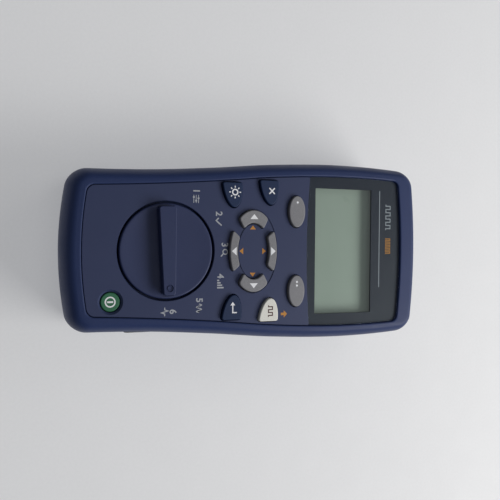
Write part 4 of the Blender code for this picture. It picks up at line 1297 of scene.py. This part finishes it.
def printing():
    for key, look, draw, shift in (
        ("key_backlight", INK_WHITE, sun, (-1.2, 1.0)),
        ("key_exit", INK_WHITE, cross, (-0.7, 1.1)),
        ("key_enter", INK_WHITE, return_arrow, (0, 0.8)),
        ("key_test", INK_DARK, pulses, (0.6, 0.8)),
        ("key_power", INK_WHITE, power_mark, (0, 0)),
        ("key_soft_left", INK_WHITE, dots(1), (0, 0)),
        ("key_soft_right", INK_WHITE, dots(2), (0, 0)),
    ):
        key_print(key, look, draw, shift)
    marks = bmesh.new()
    z = PANEL_TOP - INK / 2

    def tip(angle, reach):
        a = math.radians(angle)
        return ARROW_CENTRE[0] + reach * math.cos(a), ARROW_CENTRE[1] + reach * math.sin(a)

    for key, angle, _, axis in ARROWS:
        reach = (ARROW_OUTER[axis] + ARROW_INNER[axis]) / 2 + 1.15
        sign = triangle(tip(angle, reach), 1.95, 2.3, angle)
        key_print(key, INK_WHITE, lambda shape, x, y, z: flat(sign, z, shape))
        flat(triangle(tip(angle, ARROW_INNER[axis] - 1.15), 1.45, 1.85, angle), z, marks)
    x, y = 29.6, 14.0
    flat(triangle((x, y + 1.3), 1.7, 1.7, 90), z, marks)
    flat(rounded_rectangle((x, y - 1.15), (0.6, 0.75), 0.1), z, marks)
    piece("face_print_orange", marks, INK_ORANGE, "case", sharpest=60)
    dial_scale(z)
    window_print()


def sliders(shape, x, y, z):
    for row, knob_x in ((-1.1, -0.8), (0.0, 0.8), (1.1, -0.3)):
        stroke([(x - 1.8, y + row), (x + 1.8, y + row)], 0.32, z, shape)
        flat(circle((x + knob_x, y + row), 0.48, 16), z + 0.01, shape)


def tick_mark(shape, x, y, z):
    stroke([(x - 1.7, y), (x - 0.5, y - 1.2), (x + 1.7, y + 1.4)], 0.6, z, shape)


def magnifier(shape, x, y, z):
    centre = (x - 0.4, y + 0.35)
    band(circle(centre, 1.35), circle(centre, 0.85), z, z + INK, shape)
    stroke([(x + 0.6, y - 0.65), (x + 1.7, y - 1.7)], 0.55, z, shape)


def bars(shape, x, y, z):
    for i in range(4):
        tall = 0.5 + 0.35 * i
        flat(rounded_rectangle((x - 1.65 + 1.1 * i, y - 1.5 + tall), (0.34, tall), 0.1), z, shape)


def wave(shape, x, y, z):
    points = [(x - 1.9 + 3.8 * i / 32, y + 1.2 * math.sin(4 * math.pi * i / 32)) for i in range(33)]
    stroke(points, 0.42, z, shape)


def heartbeat(shape, x, y, z):
    steps = ((-1.9, 0), (-0.9, 0), (-0.4, 1.4), (0.4, -1.4), (0.9, 0), (1.9, 0))
    stroke([(x + a, y + b) for a, b in steps], 0.45, z, shape)


def numeral(digit, x, y, z):
    """A digit, centred on a point of the face."""
    text = bpy.data.curves.new("numeral", "FONT")
    text.body = digit
    text.size = 4.3 * MM
    text.offset = 0.09 * MM
    text.align_x = "CENTER"
    text.align_y = "CENTER"
    text.extrude = INK / 2 * MM
    text.resolution_u = 6
    source = put("numeral", text)
    mesh = bpy.data.meshes.new_from_object(source.evaluated_get(bpy.context.evaluated_depsgraph_get()))
    bpy.data.objects.remove(source)
    mesh.transform(Matrix.Translation((x * MM, y * MM, (z + INK / 2) * MM)))
    mesh.materials.clear()
    mesh.materials.append(INK_LIGHT)
    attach(put(f"position_{digit}", mesh), "case")


def dial_scale(z):
    """Six positions round the selector, each with a number and a small sign."""
    marks = bmesh.new()
    signs = (sliders, tick_mark, magnifier, bars, wave, heartbeat)
    for i, sign in enumerate(signs):
        angle = math.radians(POINTER_ANGLE + 30 * (5 - i))
        out = Vector((math.cos(angle), math.sin(angle)))
        place = DIAL + out * (26.9 if i in (2, 5) else 28.3)
        apart = Vector((0.0, -1.9)) if i == 5 else Vector((1.9, 0.0))
        numeral(str(i + 1), *(place - apart), z)
        sign(marks, *(place + apart * 0.9), z)
    piece("dial_marks", marks, INK_LIGHT, "case", sharpest=60)


def window_print():
    """A pulse train and a fine rule behind the lens, above the display."""
    z = LENS_LOW.z + 0.09
    rule = bmesh.new()
    flat(rounded_rectangle((-6.0, 66.0), (24.0, 0.22), 0.2), z, rule)
    pulses(rule, -17.0, 71.0, z, count=4, wide=1.6, tall=1.25)
    piece("window_print_light", rule, INK_LIGHT, "case", sharpest=60)
    accent = bmesh.new()
    pulses(accent, -2.6, 71.0, z, count=5, wide=0.8, tall=1.25)
    piece("window_print_orange", accent, INK_ORANGE, "case", sharpest=60)


# --- inner nodes that keep their CAD shape ---

INNER_LOOKS = (
    (NATURAL, "lcd_backlight"),
    (SILICONE, "lcd_connector keypad_mat"),
    (STEEL, "dome_sheet detent_ball_left detent_ball_right"),
    (STEEL, "detent_spring_left detent_spring_right selector_screw"),
    (BLACK, "power_switch processor_chip speaker detent_ring selector_rotor"),
    (PCB, "main_board"),
    (SHEET_METAL, "rf_shield usb_socket"),
    (GOLD, "selector_wiper"),
)


def dress_inner_nodes():
    for look, names in INNER_LOOKS:
        for name in names.split():
            data = NODES[name].data
            data.materials.clear()
            data.materials.append(look)


# --- floor, light and camera ---

CAMERA_PLACE = Vector((-5.78, -118.14, 328.0))
CAMERA_LOOK = Vector((0.01695, 0.36699, -0.93007))
CAMERA_UP = Vector((-1.0, -0.0097, 0.0))
CAMERA_LENS = 48.6
FLOOR_GREY = (0.50, 0.50, 0.50)
FLOOR_GLOW = 0.325


def floor():
    """A pale sheet that glows a little, so that what stands on it throws only weak shadows."""
    shape = bmesh.new()
    bmesh.ops.create_grid(shape, x_segments=8, y_segments=8, size=1500)
    look = surface("floor_grey", FLOOR_GREY, 0.8, texture=900, speckle=0.02, bump=0.05)
    _, shader = tree_and_shader(look)
    feed(shader, {"Emission Color": (0.96, 0.97, 1.0, 1), "Emission Strength": FLOOR_GLOW})
    to_object("floor", shape, [look])


def area_light(name, place, size, power, colour):
    """A rectangular light aimed at the origin."""
    data = bpy.data.lights.new(name, "AREA")
    data.shape = "RECTANGLE"
    data.size, data.size_y = size
    data.energy = power
    data.color = colour
    made = put(name, data)
    made.location = place
    made.rotation_euler = (Vector() - Vector(place)).to_track_quat("-Z", "Y").to_euler()


def lighting():
    world = bpy.data.worlds.new("studio")
    bpy.context.scene.world = world
    world.use_nodes = True
    feed(world.node_tree.nodes["Background"], {"Color": (0.93, 0.96, 1.0, 1), "Strength": 0.12})
    area_light("key", (0.315, 0.575, 0.465), (0.6, 0.36), 4.9, (1.0, 0.99, 0.98))
    area_light("second", (-0.29, 0.56, 0.45), (0.5, 0.36), 0.8, (1.0, 0.99, 0.98))
    area_light("overhead", (0.0, 0.0, 1.1), (0.4, 0.4), 0.7, (0.98, 0.99, 1.0))


def camera():
    data = bpy.data.cameras.new("camera")
    data.lens = CAMERA_LENS
    data.sensor_width = 36
    data.clip_start = 0.01
    made = put("camera", data)
    back = -CAMERA_LOOK.normalized()
    right = CAMERA_UP.cross(back).normalized()
    turn = Matrix((right, back.cross(right), back)).transposed().to_4x4()
    made.matrix_world = Matrix.Translation(CAMERA_PLACE * MM) @ turn
    bpy.context.scene.camera = made
    bpy.context.scene.view_settings.view_transform = "Standard"


def main():
    for build in (camera, lighting, floor, front_shell, face_sheet, rear_shell, case_screws, battery_door,
                  door_screw, back_label, display, knob, make_keys, port_flap, socket_panel, network_jack,
                  coax_socket, battery_cells, battery_contacts, printing, dress_inner_nodes):
        build()


main()
